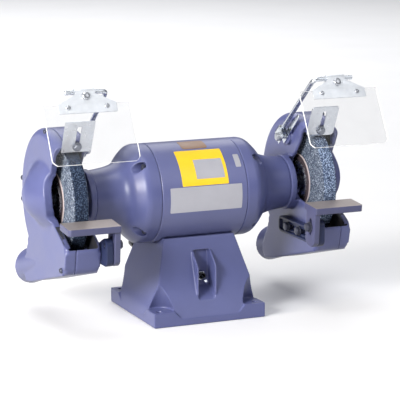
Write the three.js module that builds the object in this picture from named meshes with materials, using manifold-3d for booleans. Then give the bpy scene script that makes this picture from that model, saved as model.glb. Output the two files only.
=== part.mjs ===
// Double-ended bench grinder: a motor on a cast pedestal, a wheel with an exhaust guard at each end,
// and at each wheel a tool rest, a spark guard and an eye shield on a jointed rod.
// Millimetres, +Z up, +X along the shaft to the operator's right, -Y towards the operator.
// The origin is the middle of the pedestal's underside. Side parts are drawn for the right-hand end
// and mirrored for the left.
import * as THREE from 'three';
import { ConvexGeometry } from 'three/addons/geometries/ConvexGeometry.js';
import { mergeVertices } from 'three/addons/utils/BufferGeometryUtils.js';
import Module from 'manifold-3d';

const wasm = await Module();
wasm.setup();

// ---------------------------------------------------------------- driving dimensions
const GAP = 0.3;                       // clearance between pieces that touch
const SHAFT_Z = 213.3;                 // height of the shaft above the bench
const BASE_HALF_X = 103;
const BASE_HALF_Y = 105;
const BASE_TOP_Z = 141.5;
const BASE_WALL = 6;
const LIP_Z = 11.5;                    // low skirt between the corner pads
const PAD_Z = 24.8;                    // machined seats that the bench bolts clamp
const PAD_TOP_Z = 25;                  // as-cast top of the corner pads round the seats
const WRENCH_RADIUS = 25;
const WRENCH_SIDES = 20;
const PAD_LENGTH = 37;
const PAD_SLOPE = 14;
const BOLT_HOLE = { x: 89.5, y: 91, radius: 4.75 };
const MOTOR_RADIUS = 86;
const MOTOR_HALF = 78.4;
const MOTOR_WALL = 5;
const NECK_END = 181;                  // where an end bell meets its guard
const NECK_RADIUS = 45.5;
const WHEEL = { radius: 101.6, width: 25.4, middle: 228.4, bore: 9.8 };
const FLANGE = { radius: 39, width: 8.8 };
const SHAFT_RADIUS = 12.5;
const ARBOR_RADIUS = 9.5;
const GUARD = { radius: 122.5, wall: 6, inner: 200, outer: 262.5, split: 244 };
const RIM_DEPTH = 11;                  // the cover is thicker along its front edge
const COLLAR = { radius: 48.5, end: 192 };
const PORT = { radius: 32, bore: 27.5, x: 235.5, end: 148, z: 70, slope: 0.27, taper: 0.045 };
const REST = {
  x0: 177, x1: 268, y0: -147, y1: -101, z: 193, thickness: 11.5, leg: 10, clip: 4,
  tilt: 0.078,                         // down towards the operator, about the tilt bolt
};
const REST_BOLT = { y: -127, z: 156 };
const BRACKET_BOLTS_Y = [-14, -58];
const BRACKET_Z = 135;
const SPARK_BOLT = { x: 224.5, y: -68.6, z: 314.5 };
const SPARK_LEAN = 0.44;               // radians from vertical of the spark guard's plate
const ROD = { radius: 4, x: 188, endX: 260, y: -114.5, z: 409, length: 187 };
const ROD_FALL = 0.696;                // radians below horizontal of the rod's long leg
const SHIELD = { width: 148.5, height: 101.5, thickness: 3, middle: 227, top: 22 };
const SHIELD_LEAN = 0.496;             // radians from vertical of the eye shield
const END_BOLT_RADIUS = 77;            // circle of the four through bolts
const SWITCH_Z = 74;
const ROUND = 36;                      // segments on large round shapes
const SMALL = 12;                      // segments on small round shapes

const wheelInner = WHEEL.middle - WHEEL.width / 2;
const wheelOuter = WHEEL.middle + WHEEL.width / 2;

// ---------------------------------------------------------------- materials
function finish(colour, roughness, metalness) {
  return new THREE.MeshStandardMaterial({ color: colour, roughness, metalness });
}

const enamel = finish(0x6f78ab, 0.45, 0.1);
const enamelDark = finish(0x525c8c, 0.5, 0.1);
const steel = finish(0xa9adb2, 0.35, 0.9);
const zinc = finish(0xd4d9dd, 0.3, 0.9);
const abrasive = finish(0x66788c, 0.95, 0);
const laminations = finish(0x6b6b6e, 0.6, 0.6);
const copper = finish(0xa2602f, 0.5, 0.6);
const blackPlastic = finish(0x17181b, 0.5, 0);
const groundIron = finish(0x8f837c, 0.5, 0.6);
const clear = finish(0xdfe8ea, 0.1, 0);
const bearingSteel = finish(0xb9bcc0, 0.25, 1);

// ---------------------------------------------------------------- shape helpers
const YZ_TO_X = new THREE.Matrix4().makeBasis(
  new THREE.Vector3(0, 1, 0), new THREE.Vector3(0, 0, 1), new THREE.Vector3(1, 0, 0));
const XZ_TO_Y = new THREE.Matrix4().makeBasis(
  new THREE.Vector3(1, 0, 0), new THREE.Vector3(0, 0, 1), new THREE.Vector3(0, -1, 0));
const AXIS_TO_X = new THREE.Matrix4().makeBasis(
  new THREE.Vector3(0, 1, 0), new THREE.Vector3(1, 0, 0), new THREE.Vector3(0, 0, -1));

function solid(geometry) {
  const bare = geometry.clone();
  bare.deleteAttribute('normal');
  bare.deleteAttribute('uv');
  const merged = mergeVertices(bare, 1e-4);
  return new wasm.Manifold(new wasm.Mesh({
    numProp: 3,
    vertProperties: new Float32Array(merged.attributes.position.array),
    triVerts: new Uint32Array(merged.index.array),
  }));
}

function geometryOf(body) {
  const mesh = body.getMesh();
  const geometry = new THREE.BufferGeometry();
  geometry.setAttribute('position', new THREE.BufferAttribute(new Float32Array(mesh.vertProperties), 3));
  geometry.setIndex(new THREE.BufferAttribute(new Uint32Array(mesh.triVerts), 1));
  return geometry;
}

function box(low, high) {
  const size = high.map((value, i) => value - low[i]);
  const geometry = new THREE.BoxGeometry(...size);
  geometry.translate(...low.map((value, i) => value + size[i] / 2));
  return solid(geometry);
}

// An outline of [y, z] points pushed along X, with optional rounded rims.
function slabX(points, x0, x1, rim = 0) {
  const shape = new THREE.Shape(points.map(([y, z]) => new THREE.Vector2(y, z)));
  const geometry = new THREE.ExtrudeGeometry(shape, {
    depth: x1 - x0 - 2 * rim,
    bevelEnabled: rim > 0,
    bevelThickness: rim,
    bevelSize: rim,
    bevelOffset: -rim,
    bevelSegments: 2,
  });
  geometry.translate(0, 0, x0 + rim);
  geometry.applyMatrix4(YZ_TO_X);
  return solid(geometry);
}

// An outline of [x, z] points pushed along Y, from y0 to y1.
function slabY(points, y0, y1) {
  const shape = new THREE.Shape(points.map(([x, z]) => new THREE.Vector2(x, z)));
  const geometry = new THREE.ExtrudeGeometry(shape, { depth: y1 - y0, bevelEnabled: false });
  geometry.applyMatrix4(XZ_TO_Y);
  geometry.translate(0, y1, 0);
  return solid(geometry);
}

// A profile of [x, radius] points turned about the shaft axis.
function turned(profile, segments = ROUND, y = 0, z = SHAFT_Z) {
  const points = profile.map(([x, radius]) => new THREE.Vector2(radius, x));
  const geometry = new THREE.LatheGeometry(points, segments);
  geometry.applyMatrix4(AXIS_TO_X);
  geometry.translate(0, y, z);
  return solid(geometry);
}

function rodX(radius, x0, x1, y = 0, z = SHAFT_Z, segments = SMALL) {
  return turned([[x0, 0], [x0, radius], [x1, radius], [x1, 0]], segments, y, z);
}

function rodZ(radius, x, y, z0, z1, segments = SMALL, topRadius = radius) {
  const geometry = new THREE.CylinderGeometry(topRadius, radius, z1 - z0, segments);
  geometry.rotateX(Math.PI / 2);
  geometry.translate(x, y, (z0 + z1) / 2);
  return solid(geometry);
}

function rodY(radius, x, z, y0, y1, segments = SMALL, endRadius = radius) {
  const geometry = new THREE.CylinderGeometry(endRadius, radius, y1 - y0, segments);
  geometry.translate(x, (y0 + y1) / 2, z);
  return solid(geometry);
}

function hexX(acrossFlats, x0, x1, y, z) {
  return rodX(acrossFlats / Math.sqrt(3), x0, x1, y, z, 6);
}

function join(bodies) {
  return bodies.reduce((sum, body) => sum.add(body));
}

function cut(body, tools) {
  return tools.reduce((rest, tool) => rest.subtract(tool), body);
}

function biggestPiece(body) {
  return body.decompose().reduce((best, piece) => (piece.volume() > best.volume() ? piece : best));
}

// Turns a body about an axis along X through [y, z]; positive takes +Y towards +Z.
function tilted(body, angle, y, z) {
  const geometry = geometryOf(body);
  geometry.translate(0, -y, -z);
  geometry.rotateX(angle);
  geometry.translate(0, y, z);
  return solid(geometry);
}

function mirrored(geometry) {
  const copy = geometry.clone();
  copy.scale(-1, 1, 1);
  const index = copy.index.array;
  for (let i = 0; i < index.length; i += 3) {
    [index[i], index[i + 1]] = [index[i + 1], index[i]];
  }
  return copy;
}

// ---------------------------------------------------------------- the object
const grinder = new THREE.Group();

function add(name, body, material) {
  const mesh = new THREE.Mesh(geometryOf(body), material);
  mesh.name = name;
  grinder.add(mesh);
}

function addPair(name, body, material) {
  const geometry = geometryOf(body);
  const right = new THREE.Mesh(geometry, material);
  right.name = `right_${name}`;
  const left = new THREE.Mesh(mirrored(geometry), material);
  left.name = `left_${name}`;
  grinder.add(right, left);
}

// ---------------------------------------------------------------- pedestal
// Half widths of the flared pedestal at a few heights, as [half x, half y, z].
const FLARE = [
  [103, 105, LIP_Z],
  [99.5, 98.5, PAD_Z],
  [94.2, 91.5, 40],
  [89.6, 85.5, 55],
  [85.4, 80.3, 70],
  [77, 70.4, 100],
  [65.5, 56.5, BASE_TOP_Z],
];

function symmetricOutline(halves) {
  const right = halves.map(([half, z]) => [half, z]);
  const left = halves.map(([half, z]) => [-half, z]).reverse();
  return [...right, ...left];
}

function flaredBlock(levels) {
  const across = slabY(symmetricOutline(levels.map(([x, , z]) => [x, z])), -150, 150);
  const along = slabX(symmetricOutline(levels.map(([, y, z]) => [y, z])), -150, 150);
  return across.intersect(along);
}

function cornerPads() {
  const pads = [];
  for (const sx of [-1, 1]) {
    for (const sy of [-1, 1]) {
      const rise = (half, sign) => {
        const points = [
          [half, 0], [half, PAD_TOP_Z], [half - PAD_LENGTH, PAD_TOP_Z],
          [half - PAD_LENGTH - PAD_SLOPE, LIP_Z], [half - PAD_LENGTH - PAD_SLOPE, 0],
        ];
        const signed = points.map(([p, z]) => [p * sign, z]);
        return sign > 0 ? signed.reverse() : signed;
      };
      const across = slabY(rise(BASE_HALF_X, sx), -BASE_HALF_Y, BASE_HALF_Y);
      const along = slabX(rise(BASE_HALF_Y, sy), -BASE_HALF_X, BASE_HALF_X);
      pads.push(across.intersect(along));
    }
  }
  return pads;
}

function atBoltHoles(makeTool) {
  const tools = [];
  for (const x of [-BOLT_HOLE.x, BOLT_HOLE.x]) {
    for (const y of [-BOLT_HOLE.y, BOLT_HOLE.y]) {
      tools.push(makeTool(x, y));
    }
  }
  return tools;
}

// Room for a wrench above each pad: a short straight wall round the seat, then a cone up the flare.
function wrenchRoom(extra) {
  const seatTop = PAD_Z + 3;
  return atBoltHoles((x, y) => join([
    rodZ(WRENCH_RADIUS + extra, x, y, PAD_Z - extra, seatTop, WRENCH_SIDES),
    rodZ(WRENCH_RADIUS + extra, x, y, seatTop - 0.01, 92 + extra, WRENCH_SIDES, 4 + extra),
  ]));
}

function pedestalBase() {
  const insideLevels = [
    [72, 72, 3], [82, 80, 25], [83.5, 79, 52], [79, 74, 70], [70.5, 64, 100], [65.5, 58, 117],
  ];
  const cavity = cut(flaredBlock(insideLevels), wrenchRoom(BASE_WALL));
  const outside = flaredBlock(FLARE);
  const lip = box([-BASE_HALF_X, -BASE_HALF_Y, 0], [BASE_HALF_X, BASE_HALF_Y, LIP_Z + 0.01]);
  const shell = cut(join([cut(outside, wrenchRoom(0)), lip, ...cornerPads()]), [cavity]);

  // Switch well in the front face, between two thin guard fins.
  const wellRoom = slabX([[-50, 36], [-50, 126], [-140, 126], [-140, 36]].reverse(), -20, 20);
  const finOutline = [[-55, 121], [-66, 118.5], [-91, 94], [-91, 43], [-55, 43]];
  const fins = [slabX(finOutline, -18.2, -15), slabX(finOutline, 15, 18.2)];
  const well = slabX([[-56, 119], [-140, 119], [-140, 38], [-92, 38], [-62, 58]], -15, 15);
  const withWell = cut(join([shell, outside.intersect(wellRoom), ...fins]), [well]);

  const saddle = rodX(MOTOR_RADIUS + GAP, -200, 200, 0, SHAFT_Z, ROUND);
  const switchHole = rodY(6.3, 0, SWITCH_Z, -70, -40);
  const glandHole = rodY(6.4, -64, 107, 40, 90);
  const wireHole = rodZ(10, 20, 0, 100, 140);
  const plateSeat = box([-78.5, -78.5, -1], [78.5, 78.5, 3]);
  const boltHoles = atBoltHoles((x, y) => rodZ(BOLT_HOLE.radius, x, y, -1, PAD_Z + 5));
  return cut(withWell, [saddle, switchHole, glandHole, wireHole, plateSeat, ...boltHoles]);
}

function baseCoverPlate() {
  return box([-78, -78, 0], [78, 78, 2.5]);
}

// A black cable gland with an empty throat, on the back wall.
function cordGland() {
  const body = join([
    rodY(6, -64, 107, 54, 92, SMALL),
    rodY(10.5, -64, 107, 71.5, 78, 6),
    rodY(8.5, -64, 107, 78, 100, SMALL),
  ]);
  return cut(body, [rodY(4, -64, 107, 40, 110, SMALL)]);
}

function startCapacitor() {
  return join([rodX(18, -40, 30, 22, 60, 24), rodX(4, 30, 36, 15, 60, 8), rodX(4, 30, 36, 29, 60, 8)]);
}

// ---------------------------------------------------------------- toggle switch
function switchBody() {
  const housing = box([-11, -50, SWITCH_Z - 16], [11, -28, SWITCH_Z + 16]);
  const neck = rodY(6, 0, SWITCH_Z, -71, -49);
  return cut(join([housing, neck]), [rodY(4.7, 0, SWITCH_Z, -80, -60)]);
}

function switchNut() {
  const nut = rodY(8.2, 0, SWITCH_Z, -66, -62.6, 6);
  return cut(nut, [rodY(6.3, 0, SWITCH_Z, -70, -50)]);
}

function toggleLever() {
  const bat = turned([[-12, 0], [-12, 3.4], [-9, 3.6], [6, 2.1], [14, 2.1], [14, 0]], SMALL, 0, 0);
  const geometry = geometryOf(bat);
  geometry.rotateZ(Math.PI / 2);
  geometry.rotateX(0.28);
  geometry.translate(0, -76, SWITCH_Z - 3);
  return solid(geometry);
}

// ---------------------------------------------------------------- motor
function atThroughBolts(makeTool) {
  const step = END_BOLT_RADIUS / Math.SQRT2;
  const tools = [];
  for (const y of [-step, step]) {
    for (const z of [-step, step]) {
      tools.push(makeTool(y, SHAFT_Z + z));
    }
  }
  return tools;
}

function motorHousing() {
  const inner = MOTOR_RADIUS - MOTOR_WALL;
  const half = MOTOR_HALF - GAP / 2;
  const shell = turned([[-half, inner], [-half, MOTOR_RADIUS], [half, MOTOR_RADIUS], [half, inner], [-half, inner]]);
  return cut(shell, [rodZ(10, 20, 0, 110, 150)]);
}

function endBell() {
  const start = MOTOR_HALF + GAP / 2;
  const envelope = turned([
    [start, 0], [start, MOTOR_RADIUS], [98, MOTOR_RADIUS], [105, 83.6], [112, 78], [120, 70],
    [127, 61], [134, 55.3], [144, 51.5], [158, 48.5], [NECK_END, NECK_RADIUS], [NECK_END, 0],
  ]);
  const hollow = turned([
    [start - 1, 0], [start - 1, 81], [93, 81], [104, 74], [116, 62], [126, 52], [136, 46.5], [148, 44],
    [150, 26.3], [174, 26.3], [174, 18], [NECK_END + 1, 18], [NECK_END + 1, 0],
  ]);
  const bosses = atThroughBolts((y, z) => rodX(12, 86, 130, y, z, SMALL).intersect(envelope));
  const pockets = atThroughBolts((y, z) => rodX(8.5, 98, 140, y, z, SMALL));
  const holes = atThroughBolts((y, z) => rodX(2.9, 70, 120, y, z, 8));
  const body = cut(join([cut(envelope, [hollow]), ...bosses]), [...pockets, ...holes]);
  return biggestPiece(body);
}

function throughBolt(y, z) {
  return join([
    rodX(2.5, -105, 105, y, z, 8),
    hexX(10, -104.3, -98.3, y, z),
    hexX(10, 98.3, 104.3, y, z),
  ]);
}

function statorCore() {
  const ring = turned([[-45, 46], [-45, 80.6], [45, 80.6], [45, 46], [-45, 46]]);
  return cut(ring, atThroughBolts((y, z) => rodX(3.2, -60, 60, y, z, 8)));
}

function statorWinding(side) {
  const near = 45.4 * side;
  const far = 67 * side;
  const profile = [[near, 50], [near, 68], [far - 4 * side, 70], [far, 64], [far, 55], [far - 5 * side, 50], [near, 50]];
  return turned(side > 0 ? profile : profile.reverse(), 24);
}

function bearing() {
  return turned([
    [158, 12.8], [158, 16.5], [159.5, 16.5], [159.5, 22], [158, 22], [158, 26],
    [173, 26], [173, 22], [171.5, 22], [171.5, 16.5], [173, 16.5], [173, 12.8], [158, 12.8],
  ], 20);
}

// ---------------------------------------------------------------- spindle
function spindleShaft() {
  const half = [
    [50, 15], [50, 14], [150, 14], [150, SHAFT_RADIUS], [206.2, SHAFT_RADIUS], [206.2, ARBOR_RADIUS],
    [265, ARBOR_RADIUS], [266.5, ARBOR_RADIUS - 1.5],
  ];
  const left = half.map(([x, r]) => [-x, r]).reverse();
  return turned([[-266.5, 0], ...left, ...half, [266.5, 0]], 20);
}

function rotor() {
  return turned([
    [-45, 15.3], [-45, 24], [-52, 26], [-52, 40], [-45, 42], [-45, 45.3], [45, 45.3], [45, 42],
    [52, 40], [52, 26], [45, 24], [45, 15.3], [-45, 15.3],
  ], 24);
}

function grindingWheel() {
  const r = WHEEL.radius;
  return turned([
    [wheelInner, WHEEL.bore], [wheelInner, r - 1.5], [wheelInner + 1.5, r], [wheelOuter - 1.5, r],
    [wheelOuter, r - 1.5], [wheelOuter, WHEEL.bore], [wheelInner, WHEEL.bore],
  ], 48);
}

// side = -1 for the flange on the motor side of the wheel, 1 for the outer one.
function wheelFlange(side) {
  const face = side < 0 ? wheelInner - GAP : wheelOuter + GAP;
  const back = face + side * FLANGE.width;
  const dish = face + side * 2;
  const profile = [
    [face, FLANGE.radius - 10], [face, FLANGE.radius], [face + side * 4, FLANGE.radius],
    [back - side, 20], [back, 18], [back, WHEEL.bore], [dish, WHEEL.bore], [dish, FLANGE.radius - 11],
    [face, FLANGE.radius - 10],
  ];
  return turned(side > 0 ? profile : profile.reverse(), 24);
}

function spindleNut() {
  const start = wheelOuter + GAP + FLANGE.width + GAP;
  return cut(hexX(28, start, start + 10, 0, SHAFT_Z), [rodX(WHEEL.bore, start - 5, start + 20, 0, SHAFT_Z, 24)]);
}

// ---------------------------------------------------------------- exhaust guards
const sparkDown = [Math.sin(SPARK_LEAN), -Math.cos(SPARK_LEAN)];
const sparkOut = [-Math.cos(SPARK_LEAN), -Math.sin(SPARK_LEAN)];

// A point given along the spark guard's plate and out from its seat.
function sparkPoint(down, out) {
  return [
    SPARK_BOLT.y + down * sparkDown[0] + out * sparkOut[0],
    SPARK_BOLT.z + down * sparkDown[1] + out * sparkOut[1],
  ];
}

// The cover swells outwards over the spindle nut: ellipses of growing height, as seen from the side.
const SWELL = [
  { x: 256, y: -3, z: 224, halfY: 80, halfZ: 56 },
  { x: 263.5, y: -1, z: 224, halfY: 76, halfZ: 53 },
  { x: 271, y: 3, z: 224, halfY: 61, halfZ: 46 },
  { x: 281, y: 6, z: 222, halfY: 43, halfZ: 33 },
  { x: 288.5, y: 9, z: 220, halfY: 24, halfZ: 20 },
  { x: 292, y: 10, z: 219, halfY: 8, halfZ: 7 },
];

function swell(inset) {
  const points = [];
  for (const ring of SWELL) {
    for (let i = 0; i < 14; i += 1) {
      const angle = (2 * Math.PI * i) / 14;
      points.push(new THREE.Vector3(
        ring.x - inset,
        ring.y + (ring.halfY - inset * 0.7) * Math.cos(angle),
        ring.z + (ring.halfZ - inset * 0.7) * Math.sin(angle)));
    }
  }
  return solid(new ConvexGeometry(points));
}

function guardShell() {
  const { radius, wall, inner, outer } = GUARD;
  const drum = turned([
    [inner, 0], [inner, radius - 14], [inner + 4, radius - 4], [inner + 13, radius],
    [outer - 13, radius], [outer - 4, radius - 4], [outer, radius - 14], [outer, 0],
  ]);
  const room = turned([
    [inner + wall, 0], [inner + wall, radius - 18], [inner + 12, radius - wall], [outer - 12, radius - wall],
    [outer - wall, radius - 18], [outer - wall, 0],
  ]);
  const chute = slabX([
    [-107, 107], [70, 59], [112, 52], [112, 92], [86, 112], [88, 140], [40, 190], [-60, 190], [-118, 153],
  ], inner, outer, 10);
  const chuteRoom = slabX([
    [-101.5, 112], [70, 66], [104, 60], [104, 88], [79, 110], [80, 140], [35, 185], [-150, 185], [-113, 149],
  ], inner + wall, outer - wall, 5);
  const portLean = -Math.atan(PORT.slope);
  const pipe = (endRadius, y0, y1) => {
    const radiusAt = (y) => endRadius - PORT.taper * (PORT.end - y);
    const cone = rodY(radiusAt(y0), PORT.x, PORT.z, y0, y1, 32, radiusAt(y1));
    return tilted(cone, portLean, PORT.end, PORT.z);
  };
  const behindPort = box([150, PORT.end, -50], [300, 300, 200]);
  const port = cut(pipe(PORT.radius, -10, PORT.end + 30), [behindPort]);
  const portRoom = pipe(PORT.bore, -10, PORT.end + 60);
  const rim = slabX(mouthEdge(0).concat(mouthEdge(7).reverse()), outer - RIM_DEPTH, outer + 40);
  const hollow = join([room, chuteRoom, swell(wall)]).subtract(rim.subtract(swell(RIM_DEPTH)));
  return cut(join([drum, chute, port, swell(0)]), [hollow, portRoom]);
}

// The cover's front edge beside the wheel, top to bottom, moved back by a distance.
function mouthEdge(back) {
  const [seatY, seatZ] = sparkPoint(33, 0);
  return [
    [seatY, seatZ], [-50, 280], [-41, 258], [-45, 243], [-50, 225], [-49, 206], [-45, 192], [-53, 184],
    [-76, 173], [-99, 161], [-113, 153],
  ].map(([y, z]) => [y + back, z - back * 0.4]);
}

// What is cut away in front of the wheel, from the spark guard's seat down to the chute's lip.
function mouthTool() {
  const highSeat = sparkPoint(-30, 0);
  return slabX([[-220, 400], highSeat, ...mouthEdge(0), [-220, 153]].reverse(), 150, 320);
}

function innerWallMouthTool() {
  return slabX([
    [-220, 330], [-57, 322], [-44, 304], [-34, 285], [-20, 268], [-4, 253], [-5.5, 239], [-25, 229],
    [-29.5, 205], [-26, 191], [-56, 184], [-220, 184],
  ].reverse(), 150, GUARD.inner + GUARD.wall + 0.5);
}

const rodDown = [Math.cos(ROD_FALL), -Math.sin(ROD_FALL)];
const rodBelow = [-Math.sin(ROD_FALL), -Math.cos(ROD_FALL)];

// A point given along the rod's long leg from its bend, and below it.
function rodPoint(along, below) {
  return [
    ROD.y + along * rodDown[0] + below * rodBelow[0],
    ROD.z + along * rodDown[1] + below * rodBelow[1],
  ];
}

const CLAMP_BOLT = { along: 166, below: 11 };
const clampBoltAt = rodPoint(CLAMP_BOLT.along, CLAMP_BOLT.below);

function guardHousing(shell) {
  const innerHalf = shell.intersect(box([150, -200, 0], [GUARD.split - GAP / 2, 200, 400]));
  const opened = cut(innerHalf, [mouthTool(), innerWallMouthTool()]);
  const collar = rodX(COLLAR.radius, NECK_END + GAP, COLLAR.end, 0, SHAFT_Z, ROUND);
  const web = cut(
    rodX(COLLAR.radius, COLLAR.end - 1, GUARD.inner + GUARD.wall, 0, SHAFT_Z, ROUND), [innerWallMouthTool()]);
  const sparkBoss = slabX([
    sparkPoint(-11, -GAP), sparkPoint(9, -GAP), sparkPoint(9, -14), sparkPoint(-3, -20), sparkPoint(-11, -14),
  ].reverse(), SPARK_BOLT.x - 12, SPARK_BOLT.x + 12);
  const clampBoss = rodX(15, 194.2, GUARD.inner + 3, ...clampBoltAt, 20);
  const bracketPads = BRACKET_BOLTS_Y.map((y) => rodX(9, GUARD.inner, GUARD.inner + 13, y, BRACKET_Z));
  const shaftHole = rodX(30, 150, GUARD.inner + GUARD.wall + 0.2, 0, SHAFT_Z, 32);
  const sparkHole = sparkScrewRod(3.1, -12, 5);
  const clampHole = rodX(4.1, 190, GUARD.inner + 2, ...clampBoltAt, 12);
  const bracketHoles = BRACKET_BOLTS_Y.map((y) => rodX(4.2, 190, GUARD.inner + 10, y, BRACKET_Z, 12));
  const body = join([opened, collar, web, sparkBoss, clampBoss, ...bracketPads]);
  return biggestPiece(cut(body, [shaftHole, sparkHole, clampHole, ...bracketHoles]));
}

function guardCover(shell) {
  const outerHalf = shell.intersect(box([GUARD.split + GAP / 2, -200, 0], [320, 200, 400]));
  return biggestPiece(cut(outerHalf, [mouthTool()]));
}

// ---------------------------------------------------------------- spark guard
function sparkScrewRod(radius, from, to, segments = 12) {
  const geometry = new THREE.CylinderGeometry(radius, radius, to - from, segments);
  geometry.translate(0, -(from + to) / 2, 0);
  geometry.rotateX(SPARK_LEAN);
  geometry.translate(SPARK_BOLT.x, SPARK_BOLT.y, SPARK_BOLT.z);
  return solid(geometry);
}

function sparkPlate() {
  const plate = slabX([
    sparkPoint(-48, GAP), sparkPoint(11, GAP), sparkPoint(11, GAP + 2), sparkPoint(-48, GAP + 2),
  ], SPARK_BOLT.x - 26, SPARK_BOLT.x + 26);
  const slot = slabX([
    sparkPoint(-39, -5), sparkPoint(6.5, -5), sparkPoint(6.5, 5), sparkPoint(-39, 5),
  ], SPARK_BOLT.x - 3.6, SPARK_BOLT.x + 3.6);
  return cut(plate, [slot]);
}

function sparkScrew() {
  return join([
    sparkScrewRod(2.8, -10, 7, 12),
    sparkScrewRod(8, 2.6, 4, SMALL),
    sparkScrewRod(5.8, 3.9, 8.2, 6),
  ]);
}

// ---------------------------------------------------------------- tool rest
function toolRest() {
  const { x0, x1, y0, y1, z, thickness, leg, clip, tilt } = REST;
  const tableShape = new THREE.Shape([
    new THREE.Vector2(x0, y1), new THREE.Vector2(x0, y0), new THREE.Vector2(x1 - clip, y0),
    new THREE.Vector2(x1, y0 + clip), new THREE.Vector2(x1, y1),
  ]);
  const tableGeometry = new THREE.ExtrudeGeometry(tableShape, { depth: thickness, bevelEnabled: false });
  tableGeometry.translate(0, 0, z - thickness);
  const low = REST_BOLT.z - 34;
  const legOutline = [
    [REST_BOLT.y - 17, z - 5], [REST_BOLT.y - 17, low + 8], [REST_BOLT.y - 9, low], [REST_BOLT.y + 9, low],
    [REST_BOLT.y + 17, low + 8], [REST_BOLT.y + 17, z - 5],
  ];
  const legPlate = slabX(legOutline, x0, x0 + leg);
  const slot = slabX([
    [REST_BOLT.y - 4.3, REST_BOLT.z - 15], [REST_BOLT.y + 4.3, REST_BOLT.z - 15],
    [REST_BOLT.y + 4.3, REST_BOLT.z + 15], [REST_BOLT.y - 4.3, REST_BOLT.z + 15],
  ], x0 - 5, x0 + leg + 5);
  return tilted(cut(join([solid(tableGeometry), legPlate]), [slot]), tilt, REST_BOLT.y, REST_BOLT.z);
}

const BRACKET_X = { near: REST.x0 + REST.leg + GAP, far: GUARD.inner - GAP };

function restBracket() {
  const ear = rodX(12, BRACKET_X.near, BRACKET_X.far, REST_BOLT.y, REST_BOLT.z, 20);
  const arm = slabX([
    [14, 150], [-85, 150], [-104, 158], [-122, 167], [-139, 158], [-139, 128], [-132, 121], [14, 121],
    [19, 127], [19, 144],
  ], BRACKET_X.near, BRACKET_X.far);
  const slotEnd = (y) => rodX(4.6, 180, 210, y, BRACKET_Z, SMALL);
  const slot = slabX([[-80, 130.4], [0, 130.4], [0, 139.6], [-80, 139.6]], 180, 210);
  const boltHole = rodX(4.3, 180, 210, REST_BOLT.y, REST_BOLT.z, SMALL);
  const panel = slabX([[14, 126], [14, 145], [-98, 145], [-98, 126]].reverse(), 180, BRACKET_X.near + 4);
  return cut(join([arm, ear]), [slotEnd(-80), slotEnd(0), slot, boltHole, panel]);
}

function restBolt() {
  const { y, z } = REST_BOLT;
  return join([
    rodX(4, REST.x0 - 8, BRACKET_X.far - 1, y, z, 12),
    rodX(9.5, REST.x0 - 2.2, REST.x0 - GAP, y, z, SMALL),
    hexX(13, REST.x0 - 8, REST.x0 - 2, y, z),
  ]);
}

function bracketBolt(y) {
  const seat = BRACKET_X.near + 4 - GAP;
  return join([
    rodX(3.9, seat - 3, GUARD.inner + 8, y, BRACKET_Z, 12),
    rodX(8.2, seat - 1.6, seat, y, BRACKET_Z, SMALL),
    hexX(13, seat - 7, seat - 1.5, y, BRACKET_Z),
  ]);
}

// ---------------------------------------------------------------- eye shield
const shieldDown = [-Math.sin(SHIELD_LEAN), -Math.cos(SHIELD_LEAN)];
const shieldOut = [-Math.cos(SHIELD_LEAN), Math.sin(SHIELD_LEAN)];

// Places a flat outline of [x, down] points in the shield's plane, between two distances in front
// of the rod's centre.
function shieldSheet(points, from, to) {
  const shape = new THREE.Shape(points.map(([x, down]) => new THREE.Vector2(x, down)));
  const geometry = new THREE.ExtrudeGeometry(shape, { depth: to - from, bevelEnabled: false });
  geometry.translate(0, 0, -to);
  const plane = new THREE.Matrix4().makeBasis(
    new THREE.Vector3(1, 0, 0),
    new THREE.Vector3(0, shieldDown[0], shieldDown[1]),
    new THREE.Vector3(0, -shieldOut[0], -shieldOut[1]));
  geometry.applyMatrix4(plane);
  geometry.translate(0, ROD.y, ROD.z);
  return solid(geometry);
}

function shieldPanel() {
  const { width, height, thickness, middle, top } = SHIELD;
  const half = width / 2;
  const clip = 7;
  return shieldSheet([
    [middle - half, top], [middle + half, top], [middle + half, top + height - clip],
    [middle + half - clip, top + height], [middle - half + clip, top + height],
    [middle - half, top + height - clip],
  ], 4.1 - thickness, 4.1);
}

function shieldBracket() {
  const m = SHIELD.middle;
  const plate = shieldSheet([
    [m - 17, 0], [m + 17, 0], [m + 17, 5], [m + 50, 22], [m + 50, 38], [m - 50, 38], [m - 50, 22], [m - 17, 5],
  ], 4.4, 6);
  const roll = rodX(6, m - 17, m + 17, ROD.y, ROD.z, 24);
  const belowRod = shieldSheet([[m - 30, 0], [m + 30, 0], [m + 30, 20], [m - 30, 20]], -8, 8);
  const rodRoom = rodX(4.4, m - 30, m + 30, ROD.y, ROD.z, 24);
  const backLeg = shieldSheet([[m - 17, -0.5], [m + 17, -0.5], [m + 17, 14], [m - 17, 14]], -6, -4.4);
  const hole = shieldBoltRod(2.9, -20, 20);
  return cut(join([plate, cut(roll, [belowRod, rodRoom]), backLeg]), [hole]);
}

function shieldBoltRod(radius, from, to, segments = 12) {
  const geometry = new THREE.CylinderGeometry(radius, radius, to - from, segments);
  geometry.translate(0, (from + to) / 2, 0);
  geometry.rotateX(Math.PI - SHIELD_LEAN);
  const down = 9;
  geometry.translate(SHIELD.middle, ROD.y + down * shieldDown[0], ROD.z + down * shieldDown[1]);
  return solid(geometry);
}

function shieldBolt() {
  return join([
    shieldBoltRod(2.5, -9.5, 8),
    shieldBoltRod(6.8, 6.3, 10.5, SMALL),
    shieldBoltRod(5, -9.4, -6.3, 6),
  ]);
}

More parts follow.
